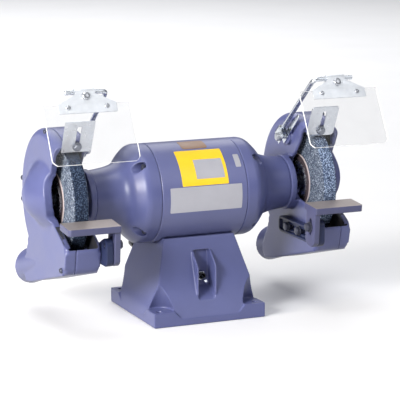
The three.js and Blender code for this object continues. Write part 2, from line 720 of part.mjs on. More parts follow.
function shieldRod() {
  const bend = 11;
  const corner = new THREE.Vector3(ROD.x, ROD.y, ROD.z);
  const start = new THREE.Vector3(ROD.endX, ROD.y, ROD.z);
  const bendStart = new THREE.Vector3(ROD.x + bend, ROD.y, ROD.z);
  const bendEnd = new THREE.Vector3(ROD.x, ...rodPoint(bend, 0));
  const end = new THREE.Vector3(ROD.x, ...rodPoint(ROD.length, 0));
  const path = new THREE.CurvePath();
  path.add(new THREE.LineCurve3(start, bendStart));
  path.add(new THREE.QuadraticBezierCurve3(bendStart, corner, bendEnd));
  path.add(new THREE.LineCurve3(bendEnd, end));
  const section = new THREE.Shape();
  section.absarc(0, 0, ROD.radius, 0, 2 * Math.PI);
  return solid(new THREE.ExtrudeGeometry(section, { steps: 28, curveSegments: 5, extrudePath: path }));
}

// A folded strip: two cheeks that pinch the rod, one of them with a long tail beside the rod.
function rodClamp() {
  const sheet = (points, x0, x1) => slabX(points.map(([along, below]) => rodPoint(along, below)).reverse(), x0, x1);
  const near = ROD.x - ROD.radius - GAP;
  const far = ROD.x + ROD.radius + GAP;
  const start = CLAMP_BOLT.along - 12;
  const stop = CLAMP_BOLT.along + 12;
  const cheek = [[start, -6], [stop, -6], [stop, 19], [start, 19]];
  const tail = [[start + 3, 6.5], [start - 56, 8], [start - 59, 12], [start - 56, 16], [start + 3, 17.5]];
  const bridge = [[start, -6], [stop, -6], [stop, -4.4], [start, -4.4]];
  const body = join([
    sheet(cheek, near - 1.5, near),
    sheet(cheek, far, far + 1.5),
    sheet(tail, far, far + 1.5),
    sheet(bridge, near - 1.5, far + 1.5),
  ]);
  return cut(body, [rodX(4.1, 170, 200, ...clampBoltAt, 12)]);
}

function clampBolt() {
  const near = ROD.x - ROD.radius - GAP - 1.5 - GAP;
  return join([
    rodX(3.8, near - 2, GUARD.inner + 1, ...clampBoltAt, 12),
    rodX(8, near - 1.5, near, ...clampBoltAt, SMALL),
    hexX(13, near - 6.5, near - 1.4, ...clampBoltAt),
  ]);
}

// ---------------------------------------------------------------- assembly
add('pedestal_base', pedestalBase(), enamel);
add('base_cover_plate', baseCoverPlate(), steel);
add('cord_gland', cordGland(), blackPlastic);
add('start_capacitor', startCapacitor(), blackPlastic);
add('switch_body', switchBody(), blackPlastic);
add('switch_nut', switchNut(), zinc);
add('toggle_lever', toggleLever(), zinc);

add('motor_housing', motorHousing(), enamel);
addPair('end_bell', endBell(), enamel);
add('stator_core', statorCore(), laminations);
add('right_stator_winding', statorWinding(1), copper);
add('left_stator_winding', statorWinding(-1), copper);
atThroughBolts((y, z) => [y, z]).forEach(([y, z], i) => {
  add(`through_bolt_${i + 1}`, throughBolt(y, z), steel);
});
addPair('bearing', bearing(), bearingSteel);

add('spindle_shaft', spindleShaft(), steel);
add('rotor', rotor(), laminations);
addPair('wheel', grindingWheel(), abrasive);
addPair('inner_flange', wheelFlange(-1), zinc);
addPair('outer_flange', wheelFlange(1), zinc);
addPair('spindle_nut', spindleNut(), zinc);

const shell = guardShell();
addPair('guard_housing', guardHousing(shell), enamel);
addPair('guard_cover', guardCover(shell), enamel);
addPair('spark_guard', sparkPlate(), zinc);
addPair('spark_guard_screw', sparkScrew(), steel);

addPair('tool_rest', toolRest(), groundIron);
addPair('rest_bracket', restBracket(), enamelDark);
addPair('rest_bolt', restBolt(), steel);
BRACKET_BOLTS_Y.forEach((y, i) => {
  addPair(`bracket_bolt_${i + 1}`, bracketBolt(y), steel);
});

addPair('eye_shield', shieldPanel(), clear);
addPair('shield_bracket', shieldBracket(), zinc);
addPair('shield_bolt', shieldBolt(), zinc);
addPair('shield_rod', shieldRod(), zinc);
addPair('rod_clamp', rodClamp(), zinc);
addPair('clamp_bolt', clampBolt(), steel);

export default grinder;
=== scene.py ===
import math

import bmesh
import bpy
from mathutils import Matrix, Vector, noise


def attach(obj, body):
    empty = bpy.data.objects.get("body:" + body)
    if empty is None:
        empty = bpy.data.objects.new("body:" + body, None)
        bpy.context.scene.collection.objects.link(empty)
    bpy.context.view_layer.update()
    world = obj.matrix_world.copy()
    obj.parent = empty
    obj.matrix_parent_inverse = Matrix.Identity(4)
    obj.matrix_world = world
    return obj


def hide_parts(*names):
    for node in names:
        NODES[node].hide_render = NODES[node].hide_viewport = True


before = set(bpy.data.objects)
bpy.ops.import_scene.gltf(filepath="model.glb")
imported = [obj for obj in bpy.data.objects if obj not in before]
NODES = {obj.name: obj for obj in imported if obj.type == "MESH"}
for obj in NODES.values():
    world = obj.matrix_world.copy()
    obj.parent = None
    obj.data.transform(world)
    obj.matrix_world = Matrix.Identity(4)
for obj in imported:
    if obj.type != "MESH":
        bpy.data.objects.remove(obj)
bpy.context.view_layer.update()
MM = 0.001

# ------------------------------------------------------------------ dimensions shared with the CAD
GAP = 0.3
SHAFT_Z = 213.3
BASE_X, BASE_Y, BASE_TOP_Z, LIP_Z, PAD_Z, PAD_TOP_Z = 103, 105, 141.5, 11.5, 24.8, 25
BOLT_X, BOLT_Y, BOLT_RADIUS = 89.5, 91, 4.75
MOTOR_RADIUS, MOTOR_HALF = 86, 78.4
NECK_END, NECK_RADIUS = 181, 45.5
WHEEL_RADIUS, WHEEL_WIDTH, WHEEL_MIDDLE, BORE = 101.6, 25.4, 228.4, 9.8
WHEEL_IN, WHEEL_OUT = WHEEL_MIDDLE - WHEEL_WIDTH / 2, WHEEL_MIDDLE + WHEEL_WIDTH / 2
FLANGE_RADIUS, FLANGE_WIDTH, PAPER_RADIUS = 39, 8.8, 50.5
GUARD_RADIUS, GUARD_WALL, GUARD_IN, GUARD_OUT, GUARD_SPLIT = 122.5, 6, 200, 262.5, 244
RIM_DEPTH = 11
COLLAR_RADIUS, COLLAR_END = 48.5, 192
PORT_RADIUS, PORT_BORE, PORT_X, PORT_END, PORT_Z = 32, 27.5, 235.5, 148, 70
PORT_SLOPE, PORT_TAPER = 0.27, 0.045
REST_X0, REST_X1, REST_Y0, REST_Y1, REST_Z = 177, 268, -147, -101, 193
REST_THICK, REST_LEG, REST_CLIP, REST_TILT = 11.5, 10, 4, 0.078
REST_BOLT = (-127, 156)
BRACKET_NEAR, BRACKET_FAR, BRACKET_Z = REST_X0 + REST_LEG + GAP, GUARD_IN - GAP, 135
BRACKET_BOLTS = (-14, -58)
SPARK = (224.5, -68.6, 314.5)
SPARK_LEAN = 0.44
ROD_RADIUS, ROD_X, ROD_END_X, ROD_Y, ROD_Z, ROD_LENGTH = 4, 188, 260, -114.5, 409, 187
ROD_FALL = 0.696
CLAMP_ALONG, CLAMP_BELOW = 166, 11
SHIELD_WIDTH, SHIELD_HEIGHT, SHIELD_THICK, SHIELD_MIDDLE, SHIELD_TOP = 148.5, 101.5, 3, 227, 22
SHIELD_LEAN = 0.496
SHEET_FACE, STRIP = 4.1, 1.5
END_BOLT = 77 / math.sqrt(2)
SWITCH_Z = 74
GLAND_X, GLAND_Z = -64, 107
# The pedestal's outside, as (half width, half depth, height), and the swell of a guard's side, as
# (x, middle y, middle z, half depth, half height).
FLARE = [(BASE_X, BASE_Y, LIP_Z), (99.5, 98.5, PAD_Z), (94.2, 91.5, 40), (89.6, 85.5, 55), (85.4, 80.3, 70),
         (77, 70.4, 100), (65.5, 56.5, BASE_TOP_Z)]
SWELL = [(256, -3, 224, 80, 56), (263.5, -1, 224, 76, 53), (271, 3, 224, 61, 46), (281, 6, 222, 43, 33),
         (288.5, 9, 220, 24, 20), (292, 10, 219, 8, 7)]


# ------------------------------------------------------------------ making and combining meshes
def link(name, data):
    obj = bpy.data.objects.new(name, data)
    bpy.context.scene.collection.objects.link(obj)
    return obj


def from_bmesh(name, bm):
    bmesh.ops.recalc_face_normals(bm, faces=bm.faces)
    mesh = bpy.data.meshes.new(name)
    bm.to_mesh(mesh)
    bm.free()
    return link(name, mesh)


def bake(obj):
    depsgraph = bpy.context.evaluated_depsgraph_get()
    mesh = bpy.data.meshes.new_from_object(obj.evaluated_get(depsgraph))
    mesh.materials.clear()
    obj.modifiers.clear()
    obj.data = mesh
    return obj


def boolean(base, tool, operation):
    modifier = base.modifiers.new("boolean", "BOOLEAN")
    modifier.operation = operation
    modifier.solver = "MANIFOLD"
    modifier.object = tool
    bake(base)
    bpy.data.objects.remove(tool)
    if not base.data.vertices:
        raise RuntimeError(f"{operation} left nothing of {base.name}")
    return base


def join(bodies):
    for other in bodies[1:]:
        boolean(bodies[0], other, "UNION")
    return bodies[0]


def cut(body, tools):
    for tool in tools:
        boolean(body, tool, "DIFFERENCE")
    return body


def common(body, tool):
    return boolean(body, tool, "INTERSECT")


def copy_of(obj):
    return link(obj.name, obj.data.copy())


def smooth_line(points, steps=6):
    """A Catmull-Rom line through points, which may have any number of coordinates."""
    ends = [points[0], *points, points[-1]]
    line = []
    for p0, p1, p2, p3 in zip(ends, ends[1:], ends[2:], ends[3:]):
        for i in range(steps):
            t = i / steps
            line.append(tuple(
                0.5 * (2 * b + (c - a) * t + (2 * a - 5 * b + 4 * c - d) * t * t
                       + (3 * b - a - 3 * c + d) * t ** 3)
                for a, b, c, d in zip(p0, p1, p2, p3)))
    line.append(tuple(points[-1]))
    return line


def rounded(points, radius, steps=5):
    """A closed outline with each corner turned into a small curve."""
    line = []
    for i, corner in enumerate(points):
        p = Vector(corner)
        before, after = Vector(points[i - 1]) - p, Vector(points[(i + 1) % len(points)]) - p
        reach = min(radius, before.length * 0.45, after.length * 0.45)
        a, b = p + before.normalized() * reach, p + after.normalized() * reach
        for k in range(steps + 1):
            t = k / steps
            line.append(tuple(a * (1 - t) ** 2 + p * 2 * t * (1 - t) + b * t ** 2))
    return line


def prism(outline, low, high, place, rim=0.0):
    """An outline pushed between two heights. place turns (u, v, height) into x, y, z."""
    bm = bmesh.new()
    bottom = bm.faces.new([bm.verts.new(place(u, v, low)) for u, v in outline])
    top = bm.faces.new([bm.verts.new(place(u, v, high)) for u, v in outline])
    count = len(outline)
    for i in range(count):
        k = (i + 1) % count
        bm.faces.new([bottom.verts[i], bottom.verts[k], top.verts[k], top.verts[i]])
    if rim:
        edges = list(bottom.edges) + list(top.edges)
        bmesh.ops.bevel(bm, geom=edges, offset=rim, segments=4, profile=0.5, affect="EDGES")
    bmesh.ops.triangulate(bm, faces=[f for f in bm.faces if len(f.verts) > 4], ngon_method="EAR_CLIP")
    return from_bmesh("prism", bm)


def slab_x(outline, x0, x1, rim=0.0):
    return prism(outline, x0, x1, lambda u, v, h: (h, u, v), rim)


def slab_y(outline, y0, y1):
    return prism(outline, y0, y1, lambda u, v, h: (u, h, v))


def slab_z(outline, z0, z1, rim=0.0):
    return prism(outline, z0, z1, lambda u, v, h: (u, v, h), rim)


def block(low, high):
    (x0, y0, z0), (x1, y1, z1) = low, high
    return slab_z([(x0, y0), (x1, y0), (x1, y1), (x0, y1)], z0, z1)


def lathe(profile, segments, place):
    """A profile of (distance, radius) points turned about an axis. It starts and ends on it, or closes."""
    closed = profile[0] == profile[-1]
    points = profile[:-1] if closed else profile
    bm = bmesh.new()
    rings = []
    for along, radius in points:
        if radius < 1e-6:
            rings.append([bm.verts.new(place(along, 0, 0))])
        else:
            rings.append([bm.verts.new(place(along, radius * math.cos(a), radius * math.sin(a)))
                          for a in (2 * math.pi * i / segments for i in range(segments))])
    pairs = list(zip(rings, rings[1:]))
    if closed:
        pairs.append((rings[-1], rings[0]))
    for one, two in pairs:
        for i in range(segments):
            k = (i + 1) % segments
            if len(one) == 1 and len(two) > 1:
                bm.faces.new([one[0], two[i], two[k]])
            elif len(two) == 1 and len(one) > 1:
                bm.faces.new([one[i], one[k], two[0]])
            elif len(one) > 1:
                bm.faces.new([one[i], one[k], two[k], two[i]])
    return from_bmesh("lathe", bm)


def turned(profile, segments=128, y=0.0, z=SHAFT_Z):
    return lathe(profile, segments, lambda a, u, v: (a, y + u, z + v))


def rod_x(radius, x0, x1, y, z, segments=48):
    return turned([(x0, 0), (x0, radius), (x1, radius), (x1, 0)], segments, y, z)


def rod_y(radius, x, z, y0, y1, segments=48):
    return lathe([(y0, 0), (y0, radius), (y1, radius), (y1, 0)], segments,
                 lambda a, u, v: (x + u, a, z + v))


def cone_z(radius, x, y, z0, z1, top=None, segments=48):
    top = radius if top is None else top
    return lathe([(z0, 0), (z0, radius), (z1, top), (z1, 0)], segments, lambda a, u, v: (x + u, y + v, a))


def circle(radius, steps=32, x=0.0, y=0.0):
    return [(x + radius * math.cos(2 * math.pi * i / steps), y + radius * math.sin(2 * math.pi * i / steps))
            for i in range(steps)]


def hexagon(across_flats):
    return circle(across_flats / math.sqrt(3), 6)


def slot_outline(half_width, low, high, steps=8):
    """A round-ended slot standing on the second axis."""
    arc = [math.pi * i / steps for i in range(steps + 1)]
    top = [(half_width * math.cos(a), high + half_width * math.sin(a)) for a in arc]
    return top + [(-half_width * math.cos(a), low - half_width * math.sin(a)) for a in arc]


def add_spline(curve, points, closed):
    spline = curve.splines.new("POLY")
    spline.points.add(len(points) - 1)
    for point, place in zip(spline.points, points):
        point.co = (*place, 1)
    spline.use_cyclic_u = closed
    return spline


def solid_of(curve, at):
    """The welded mesh of a curve's bevel, placed."""
    holder = link(curve.name, curve)
    mesh = bpy.data.meshes.new_from_object(holder.evaluated_get(bpy.context.evaluated_depsgraph_get()))
    bpy.data.objects.remove(holder)
    bm = bmesh.new()
    bm.from_mesh(mesh)
    bmesh.ops.remove_doubles(bm, verts=bm.verts, dist=0.002)
    bm.transform(at)
    return from_bmesh("solid", bm)


def plate(outer, holes, low, high, at, bevel=0.35):
    """A sheet with bevelled edges and holes, between two heights over the plane that `at` places."""
    curve = bpy.data.curves.new("plate", "CURVE")
    curve.dimensions = "2D"
    curve.fill_mode = "BOTH"
    curve.bevel_depth = bevel
    curve.bevel_resolution = 2
    curve.extrude = (high - low) / 2 - bevel
    curve.offset = -bevel
    for loop, turn in [(outer, 1), *((hole, -1) for hole in holes)]:
        area = sum(a[0] * b[1] - b[0] * a[1] for a, b in zip(loop, [*loop[1:], loop[0]]))
        loop = loop if area * turn > 0 else loop[::-1]
        add_spline(curve, [(x, y, 0) for x, y in loop], True)
    return solid_of(curve, at @ Matrix.Translation((0, 0, (low + high) / 2)))


def tube(points, radius, segments=24):
    """A round bar along points, with chamfered ends."""
    curve = bpy.data.curves.new("tube", "CURVE")
    curve.dimensions = "3D"
    curve.bevel_depth = radius
    curve.bevel_resolution = segments // 4
    curve.use_fill_caps = True
    spline = add_spline(curve, points, False)
    for end in (0, -1):
        spline.points[end].radius = 0.82
    return solid_of(curve, Matrix.Identity(4))


def merged(parts):
    """Several shells as one object, without cutting them where they meet."""
    bm = bmesh.new()
    for part in parts:
        bm.from_mesh(part.data)
        bpy.data.objects.remove(part)
    mesh = bpy.data.meshes.new("merged")
    bm.to_mesh(mesh)
    bm.free()
    return link("merged", mesh)


def cast(obj, voxel, rounds):
    """Gives every edge the soft radius of a casting."""
    remesh = obj.modifiers.new("remesh", "REMESH")
    remesh.mode = "VOXEL"
    remesh.voxel_size = voxel
    soften = obj.modifiers.new("soften", "SMOOTH")
    soften.iterations = rounds
    soften.factor = 0.5
    return bake(obj)


def soften_where(obj, weight, rounds):
    """Smooths only where weight(point) is above 0."""
    group = obj.vertex_groups.new(name="soft")
    for vertex in obj.data.vertices:
        amount = weight(vertex.co)
        if amount > 0:
            group.add([vertex.index], min(amount, 1.0), "REPLACE")
    modifier = obj.modifiers.new("soften", "SMOOTH")
    modifier.iterations = rounds
    modifier.factor = 0.5
    modifier.vertex_group = "soft"
    bake(obj)
    obj.vertex_groups.clear()
    return obj


def axes(origin, x_axis, y_axis):
    x_axis, y_axis = Vector(x_axis).normalized(), Vector(y_axis).normalized()
    z_axis = x_axis.cross(y_axis)
    turn = Matrix((x_axis, y_axis, z_axis)).transposed().to_4x4()
    return Matrix.Translation(origin) @ turn


def facing_out(x, y, z):
    return axes((x, y, z), (0, 1, 0), (0, 0, 1))


def facing_in(x, y, z):
    return axes((x, y, z), (0, 0, 1), (0, 1, 0))


def facing_front(x, y, z):
    return axes((x, y, z), (1, 0, 0), (0, 0, 1))


SPARK_PLANE = axes(SPARK, (1, 0, 0), (0, -math.sin(SPARK_LEAN), math.cos(SPARK_LEAN)))
SHIELD_PLANE = axes((SHIELD_MIDDLE, ROD_Y, ROD_Z), (1, 0, 0),
                    (0, math.sin(SHIELD_LEAN), math.cos(SHIELD_LEAN)))
ROD_PLANE = axes((0, ROD_Y, ROD_Z), (0, math.cos(ROD_FALL), -math.sin(ROD_FALL)),
                 (0, math.sin(ROD_FALL), math.cos(ROD_FALL)))
CLAMP_AT = ROD_PLANE @ Vector((CLAMP_ALONG, -CLAMP_BELOW, 0))


# ------------------------------------------------------------------ materials
class Nodes:
    """A node tree and short ways to add to it. Kinds and sockets have Blender's own names."""

    def __init__(self, tree):
        self.tree = tree

    def put(self, node, socket, value):
        """Links an input to another node's output, or sets it."""
        if isinstance(value, bpy.types.NodeSocket):
            self.tree.links.new(value, node.inputs[socket])
        else:
            node.inputs[socket].default_value = value

    def add(self, kind, inputs=None):
        node = self.tree.nodes.new("ShaderNode" + kind)
        for socket, value in (inputs or {}).items():
            self.put(node, socket, value)
        return node

    def noise(self, place, scale, detail=3.0):
        settings = {"Scale": scale, "Detail": detail, "Roughness": 0.55, "Vector": place}
        return self.add("TexNoise", settings).outputs["Fac"]

    def ramp(self, value, stops):
        node = self.add("ValToRGB", {"Fac": value})
        first, last = node.color_ramp.elements[0], node.color_ramp.elements[1]
        first.position, first.color = stops[0][0], (*stops[0][1], 1)
        last.position, last.color = stops[-1][0], (*stops[-1][1], 1)
        for position, colour in stops[1:-1]:
            node.color_ramp.elements.new(position).color = (*colour, 1)
        return node.outputs["Color"]

    def spread(self, value, low, high, from_low=0.3, from_high=0.7):
        """Turns the range from_low..from_high of a value into low..high."""
        settings = {"From Min": from_low, "From Max": from_high, "To Min": low, "To Max": high}
        return self.add("MapRange", {"Value": value, **settings}).outputs["Result"]

    def mix(self, factor, one, two, blend="MIX"):
        node = self.add("Mix")
        node.data_type = "RGBA"
        node.blend_type = blend
        for socket, value in ((0, factor), (6, one), (7, two)):
            self.put(node, socket, (*value, 1) if isinstance(value, tuple) else value)
        return node.outputs[2]


class Surface(Nodes):
    """A material whose shader starts with plain values."""

    def __init__(self, name, colour, metallic, roughness):
        self.material = bpy.data.materials.new(name)
        self.material.use_nodes = True
        super().__init__(self.material.node_tree)
        self.shader = self.tree.nodes["Principled BSDF"]
        self.set({"Base Color": (*colour, 1), "Metallic": metallic, "Roughness": roughness})
        self.place = self.add("TexCoord").outputs["Object"]

    def set(self, inputs):
        for socket, value in inputs.items():
            self.put(self.shader, socket, value)

    def bump(self, *layers):
        """Stacks height layers of (value, distance in metres, strength)."""
        under = {}
        for height, distance, strength in layers:
            node = self.add("Bump", {"Distance": distance, "Strength": strength, "Height": height, **under})
            under = {"Normal": node.outputs["Normal"]}
        self.set(under)


def scaled(colour, scale):
    return tuple(c * scale for c in colour)


def clouds(value, colour, low, high):
    """Ramp stops from one strength of a colour to another."""
    return value, [(0.3, scaled(colour, low)), (0.7, scaled(colour, high))]


def enamel(name, colour, lift, roughness, shine=0.4):
    """Paint on a casting: cloudy, specked, worn pale at its edges, and with painted shade on faces that
    point down.
    """
    s = Surface(name, colour, 0.0, roughness)
    cloud = s.noise(s.place, 14, 4)
    base = s.ramp(*clouds(cloud, colour, 0.93, 1.06))
    speck = s.noise(s.place, 900, 2)
    base = s.mix(s.spread(speck, 0.0, 0.12, 0.62, 0.75), base, lift)
    # The pale floor throws light up under the castings, so painted shade darkens the paint on faces that
    # point down.
    facing = s.add("SeparateXYZ", {"Vector": s.add("NewGeometry").outputs["Normal"]})
    offset = s.ramp(s.spread(facing.outputs["Z"], 0.0, 1.0, -1.0, 1.0),
                    [(0.0, (0.50, 0.50, 0.50)), (0.5, (0.94, 0.94, 0.94)), (1.0, (1.04, 1.04, 1.03))])
    base = s.mix(1.0, base, offset, "MULTIPLY")
    edges = s.spread(s.add("NewGeometry").outputs["Pointiness"], 0.0, 1.0, 0.52, 0.60)
    base = s.mix(s.spread(edges, 0.0, 0.32, 0.0, 1.0), base, lift)
    s.set({"Base Color": base, "Roughness": s.spread(cloud, roughness - 0.05, roughness + 0.07),
           "Specular IOR Level": shine, "Coat Weight": 0.3 * shine, "Coat Roughness": 0.2})
    s.bump((s.noise(s.place, 160, 3), 0.0004, 0.22), (s.noise(s.place, 1100, 2), 0.0001, 0.25))
    return s.material


def metal(name, colour, roughness, grain=(300.0, 300.0, 300.0), metallic=1.0, tint=None, contrast=0.12):
    """Bare or plated metal with streaks along its grain."""
    s = Surface(name, colour, metallic, roughness)
    along = s.add("Mapping", {"Scale": grain, "Vector": s.place}).outputs["Vector"]
    streak = s.noise(along, 1.0, 3)
    cloud = s.noise(s.place, 60, 3)
    base = s.ramp(*clouds(cloud, colour, 1 - contrast, 1))
    base = s.mix(s.spread(streak, 0.0, 0.35, 0.35, 0.75), base, tint or scaled(colour, 1 - contrast))
    s.set({"Base Color": base, "Roughness": s.spread(streak, roughness - 0.06, roughness + 0.1)})
    s.bump((streak, 0.00008, 0.3))
    return s.material


def grit(name, tint):
    """Coarse vitrified abrasive: pale and dark grains with pores between them, scaled by a tint."""
    def tone(*colour):
        return tuple(c * t for c, t in zip(colour, tint))
    s = Surface(name, tone(0.1, 0.13, 0.2), 0.0, 0.9)
    coarse, fine = [s.add("TexVoronoi", {"Scale": scale, "Vector": s.place}) for scale in (760, 1500)]
    grains = s.ramp(coarse.outputs["Color"], [
        (0.15, tone(0.008, 0.014, 0.035)), (0.42, tone(0.05, 0.07, 0.13)),
        (0.62, tone(0.17, 0.21, 0.29)), (0.88, tone(0.95, 1.0, 1.08))])
    chips = s.ramp(fine.outputs["Color"], [(0.2, tone(0.02, 0.035, 0.07)), (0.85, tone(0.34, 0.38, 0.45))])
    s.set({"Base Color": s.mix(0.22, grains, chips), "Specular IOR Level": 0.3})
    s.bump((coarse.outputs["Distance"], 0.0009, 0.6), (fine.outputs["Distance"], 0.0004, 0.5))
    return s.material


def even(name, colour, roughness, scale, tones, swing, grain):
    """A nearly even surface: faint clouds in tone and gloss, over a fine grain of (scale, strength)."""
    s = Surface(name, colour, 0.0, roughness)
    cloud = s.noise(s.place, scale, 3)
    s.set({"Base Color": s.ramp(*clouds(cloud, colour, *tones)),
           "Roughness": s.spread(cloud, roughness - swing[0], roughness + swing[1])})
    s.bump((s.noise(s.place, grain[0], 2), 0.0001, grain[1]))
    return s.material


def moulded(name, colour, roughness):
    return even(name, colour, roughness, 90, (1, 1.35), (0.08, 0.1), (1500, 0.35))


def printed(name, colour, roughness):
    """A blank painted or paper surface."""
    return even(name, colour, roughness, 40, (0.94, 1), (0.05, 0.08), (500, 0.2))


def clear_sheet(name, colour, alpha, roughness):
    """Clear plastic with faint handling marks."""
    s = Surface(name, colour, 0.0, roughness)
    marks = s.noise(s.place, 35, 5)
    s.set({"Base Color": s.ramp(*clouds(marks, colour, 0.97, 1)),
           "Roughness": s.spread(marks, roughness, roughness + 0.1),
           "Alpha": s.spread(marks, alpha * 0.85, alpha * 1.15), "Specular IOR Level": 0.2})
    return s.material


def wound_copper():
    s = Surface("wound_copper", (0.55, 0.24, 0.1), 0.8, 0.4)
    wave = s.add("TexWave", {"Scale": 260, "Distortion": 6, "Vector": s.place}).outputs["Fac"]
    s.set({"Base Color": s.ramp(wave, [(0.2, (0.22, 0.08, 0.03)), (0.8, (0.68, 0.32, 0.14))])})
    s.bump((wave, 0.0005, 0.6))
    return s.material


EVEN_GRAIN = (180, 180, 180)
MATERIALS = {
    "enamel": enamel("enamel", (0.092, 0.104, 0.245), (0.19, 0.20, 0.34), 0.36),
    "enamel_dark": enamel("enamel_dark", (0.020, 0.027, 0.072), (0.07, 0.08, 0.16), 0.34, shine=0.2),
    "rest_side": enamel("rest_side", (0.066, 0.070, 0.150), (0.17, 0.18, 0.27), 0.42),
    "spark_zinc": metal("spark_zinc", (0.68, 0.71, 0.76), 0.30, EVEN_GRAIN, tint=(0.58, 0.62, 0.68)),
    "pale_zinc": metal("pale_zinc", (0.80, 0.83, 0.87), 0.46, EVEN_GRAIN, metallic=0.8,
                       tint=(0.72, 0.76, 0.82)),
    "zinc": metal("zinc", (0.74, 0.78, 0.83), 0.24, EVEN_GRAIN, tint=(0.60, 0.65, 0.72)),
    "steel": metal("steel", (0.58, 0.60, 0.64), 0.30, (900, 200, 200)),
    "dark_steel": metal("dark_steel", (0.07, 0.075, 0.11), 0.36, (400, 400, 400), metallic=0.6),
    # One grit in three tints: the right wheel's tread is paler as painted light, and the left wheel's tread
    # is darker as painted shade.
    "abrasive": grit("grit_side", (0.52, 0.56, 0.61)),
    "tread_painted_light": grit("grit_painted_light", (0.74, 0.86, 1.04)),
    "tread_painted_shade": grit("grit_painted_shade", (0.12, 0.17, 0.26)),
    "paper": printed("paper", (0.62, 0.53, 0.52), 0.7),
    "paper_dark": printed("paper_dark", (0.060, 0.042, 0.050), 0.6),
    "laminations": metal("laminations", (0.30, 0.30, 0.31), 0.5, (3000, 60, 60)),
    "copper": wound_copper(),
    "black_plastic": moulded("black_plastic", (0.018, 0.018, 0.022), 0.45),
    "ground_iron": metal("ground_iron", (0.33, 0.29, 0.285), 0.42, (1400, 60, 60), metallic=0.45,
                         tint=(0.42, 0.37, 0.35)),
    "clear_plastic": clear_sheet("clear_plastic", (0.20, 0.21, 0.22), 0.075, 0.06),
    # The clear sheet's edge faces are painted near white and almost opaque: a painted highlight where light
    # catches the edges.
    "sheet_edge_highlight": clear_sheet("sheet_edge_highlight", (0.97, 0.98, 0.98), 0.85, 0.15),
    "bolt_grey": metal("bolt_grey", (0.24, 0.26, 0.31), 0.38, (500, 500, 500), metallic=0.8),
    "bearing_steel": metal("bearing_steel", (0.72, 0.73, 0.75), 0.18, (900, 300, 300)),
    "plate_yellow": printed("plate_yellow", (0.86, 0.56, 0.013), 0.35),
    "plate_white": printed("plate_white", (0.37, 0.37, 0.41), 0.4),
    "sticker_bronze": printed("sticker_bronze", (0.20, 0.105, 0.055), 0.35),
    "guard_inside": moulded("guard_inside", (0.018, 0.019, 0.028), 0.7),
}


def two_tone(obj, main, other, is_other):
    """Gives the faces where is_other(centre, normal) holds a second material."""
    obj.data.materials.append(MATERIALS[main])
    obj.data.materials.append(MATERIALS[other])
    for polygon in obj.data.polygons:
        polygon.material_index = 1 if is_other(polygon.center, polygon.normal) else 0
    return obj


# ------------------------------------------------------------------ finished pieces
def shade(obj, angle=34):
    for polygon in obj.data.polygons:
        polygon.use_smooth = True
    obj.data.set_sharp_from_angle(angle=math.radians(angle))


def piece(obj, name, body, slot, node=None, material=None, angle=34):
    obj.name = obj.data.name = name
    obj.data.transform(Matrix.Scale(MM, 4))
    if not obj.data.materials:
        obj.data.materials.append(MATERIALS[material or slot])
    shade(obj, angle)
    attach(obj, body)
    if node:
        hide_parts(node)
    return obj


def flipped(obj):
    """Mirrors a piece to the left-hand end."""
    obj.data.transform(Matrix.Scale(-1, 4, (1, 0, 0)))
    obj.data.flip_normals()
    return obj


def pair(obj, name, body, slot, node=None, material=None, angle=34):
    """The right-hand piece and its mirror. In body and node, {} stands for the side."""
    other = flipped(copy_of(obj))
    for side, each in (("right", obj), ("left", other)):
        piece(each, f"{side}_{name}", body.format(side), slot, node and node.format(side), material, angle)


def hex_bolt(at, across, low, high, shank, shank_low, washer=None):
    """A hexagon head from low to high over a plane, its shank, and a washer (radius, low, high)."""
    parts = [plate(hexagon(across), [], low, high, at, 0.6),
             plate(circle(across * 0.43), [], high - 0.3, high + 0.25, at, 0.2)]
    parts.append(plate(circle(shank, 24), [], shank_low, low + 0.1, at, 0.5))
    if washer:
        parts.append(plate(circle(washer[0], 40), [circle(shank + 0.1, 24)], washer[1], washer[2], at, 0.3))
    return merged(parts)


def pan_screw(at, radius, height, shank=2.0, depth=4.0):
    """A domed head with a cross recess."""
    def place(along, u, v):
        return at @ Vector((u, v, along))
    profile = [(-depth, 0), (-depth, shank), (0, shank), (0, radius), (height * 0.35, radius)]
    profile += [(height * (0.35 + 0.65 * math.sin(t)), radius * math.cos(t)) for t in (0.3, 0.6, 0.9, 1.2)]
    head = lathe(profile + [(height, 0)], 28, place)
    for turn in (0, math.pi / 2):
        long, half = radius * 0.62, 0.45
        bar = plate([(-long, -half), (long, -half), (long, half), (-long, half)], [], height * 0.45,
                    height * 1.6, at @ Matrix.Rotation(turn + 0.4, 4, "Z"), 0.1)
        cut(head, [bar])
    return head


# ------------------------------------------------------------------ pedestal
def flared(levels):
    across = smooth_line([(x, z) for x, _, z in levels], 5)
    along = smooth_line([(y, z) for _, y, z in levels], 5)
    both = [line + [(-half, z) for half, z in reversed(line)] for line in (across, along)]
    return common(slab_y(both[0], -150, 150), slab_x(both[1], -150, 150))


def at_bench_bolts(make):
    return [make(x, y) for x in (-BOLT_X, BOLT_X) for y in (-BOLT_Y, BOLT_Y)]


def corner_pad(sign_x, sign_y):
    def rise(half):
        return [(half, 0), (half, PAD_TOP_Z), (half - 37, PAD_TOP_Z), (half - 51, LIP_Z), (half - 51, 0)]
    across = slab_y([(p * sign_x, z) for p, z in rise(BASE_X)], -BASE_Y, BASE_Y)
    along = slab_x([(p * sign_y, z) for p, z in rise(BASE_Y)], -BASE_X, BASE_X)
    return common(across, along)


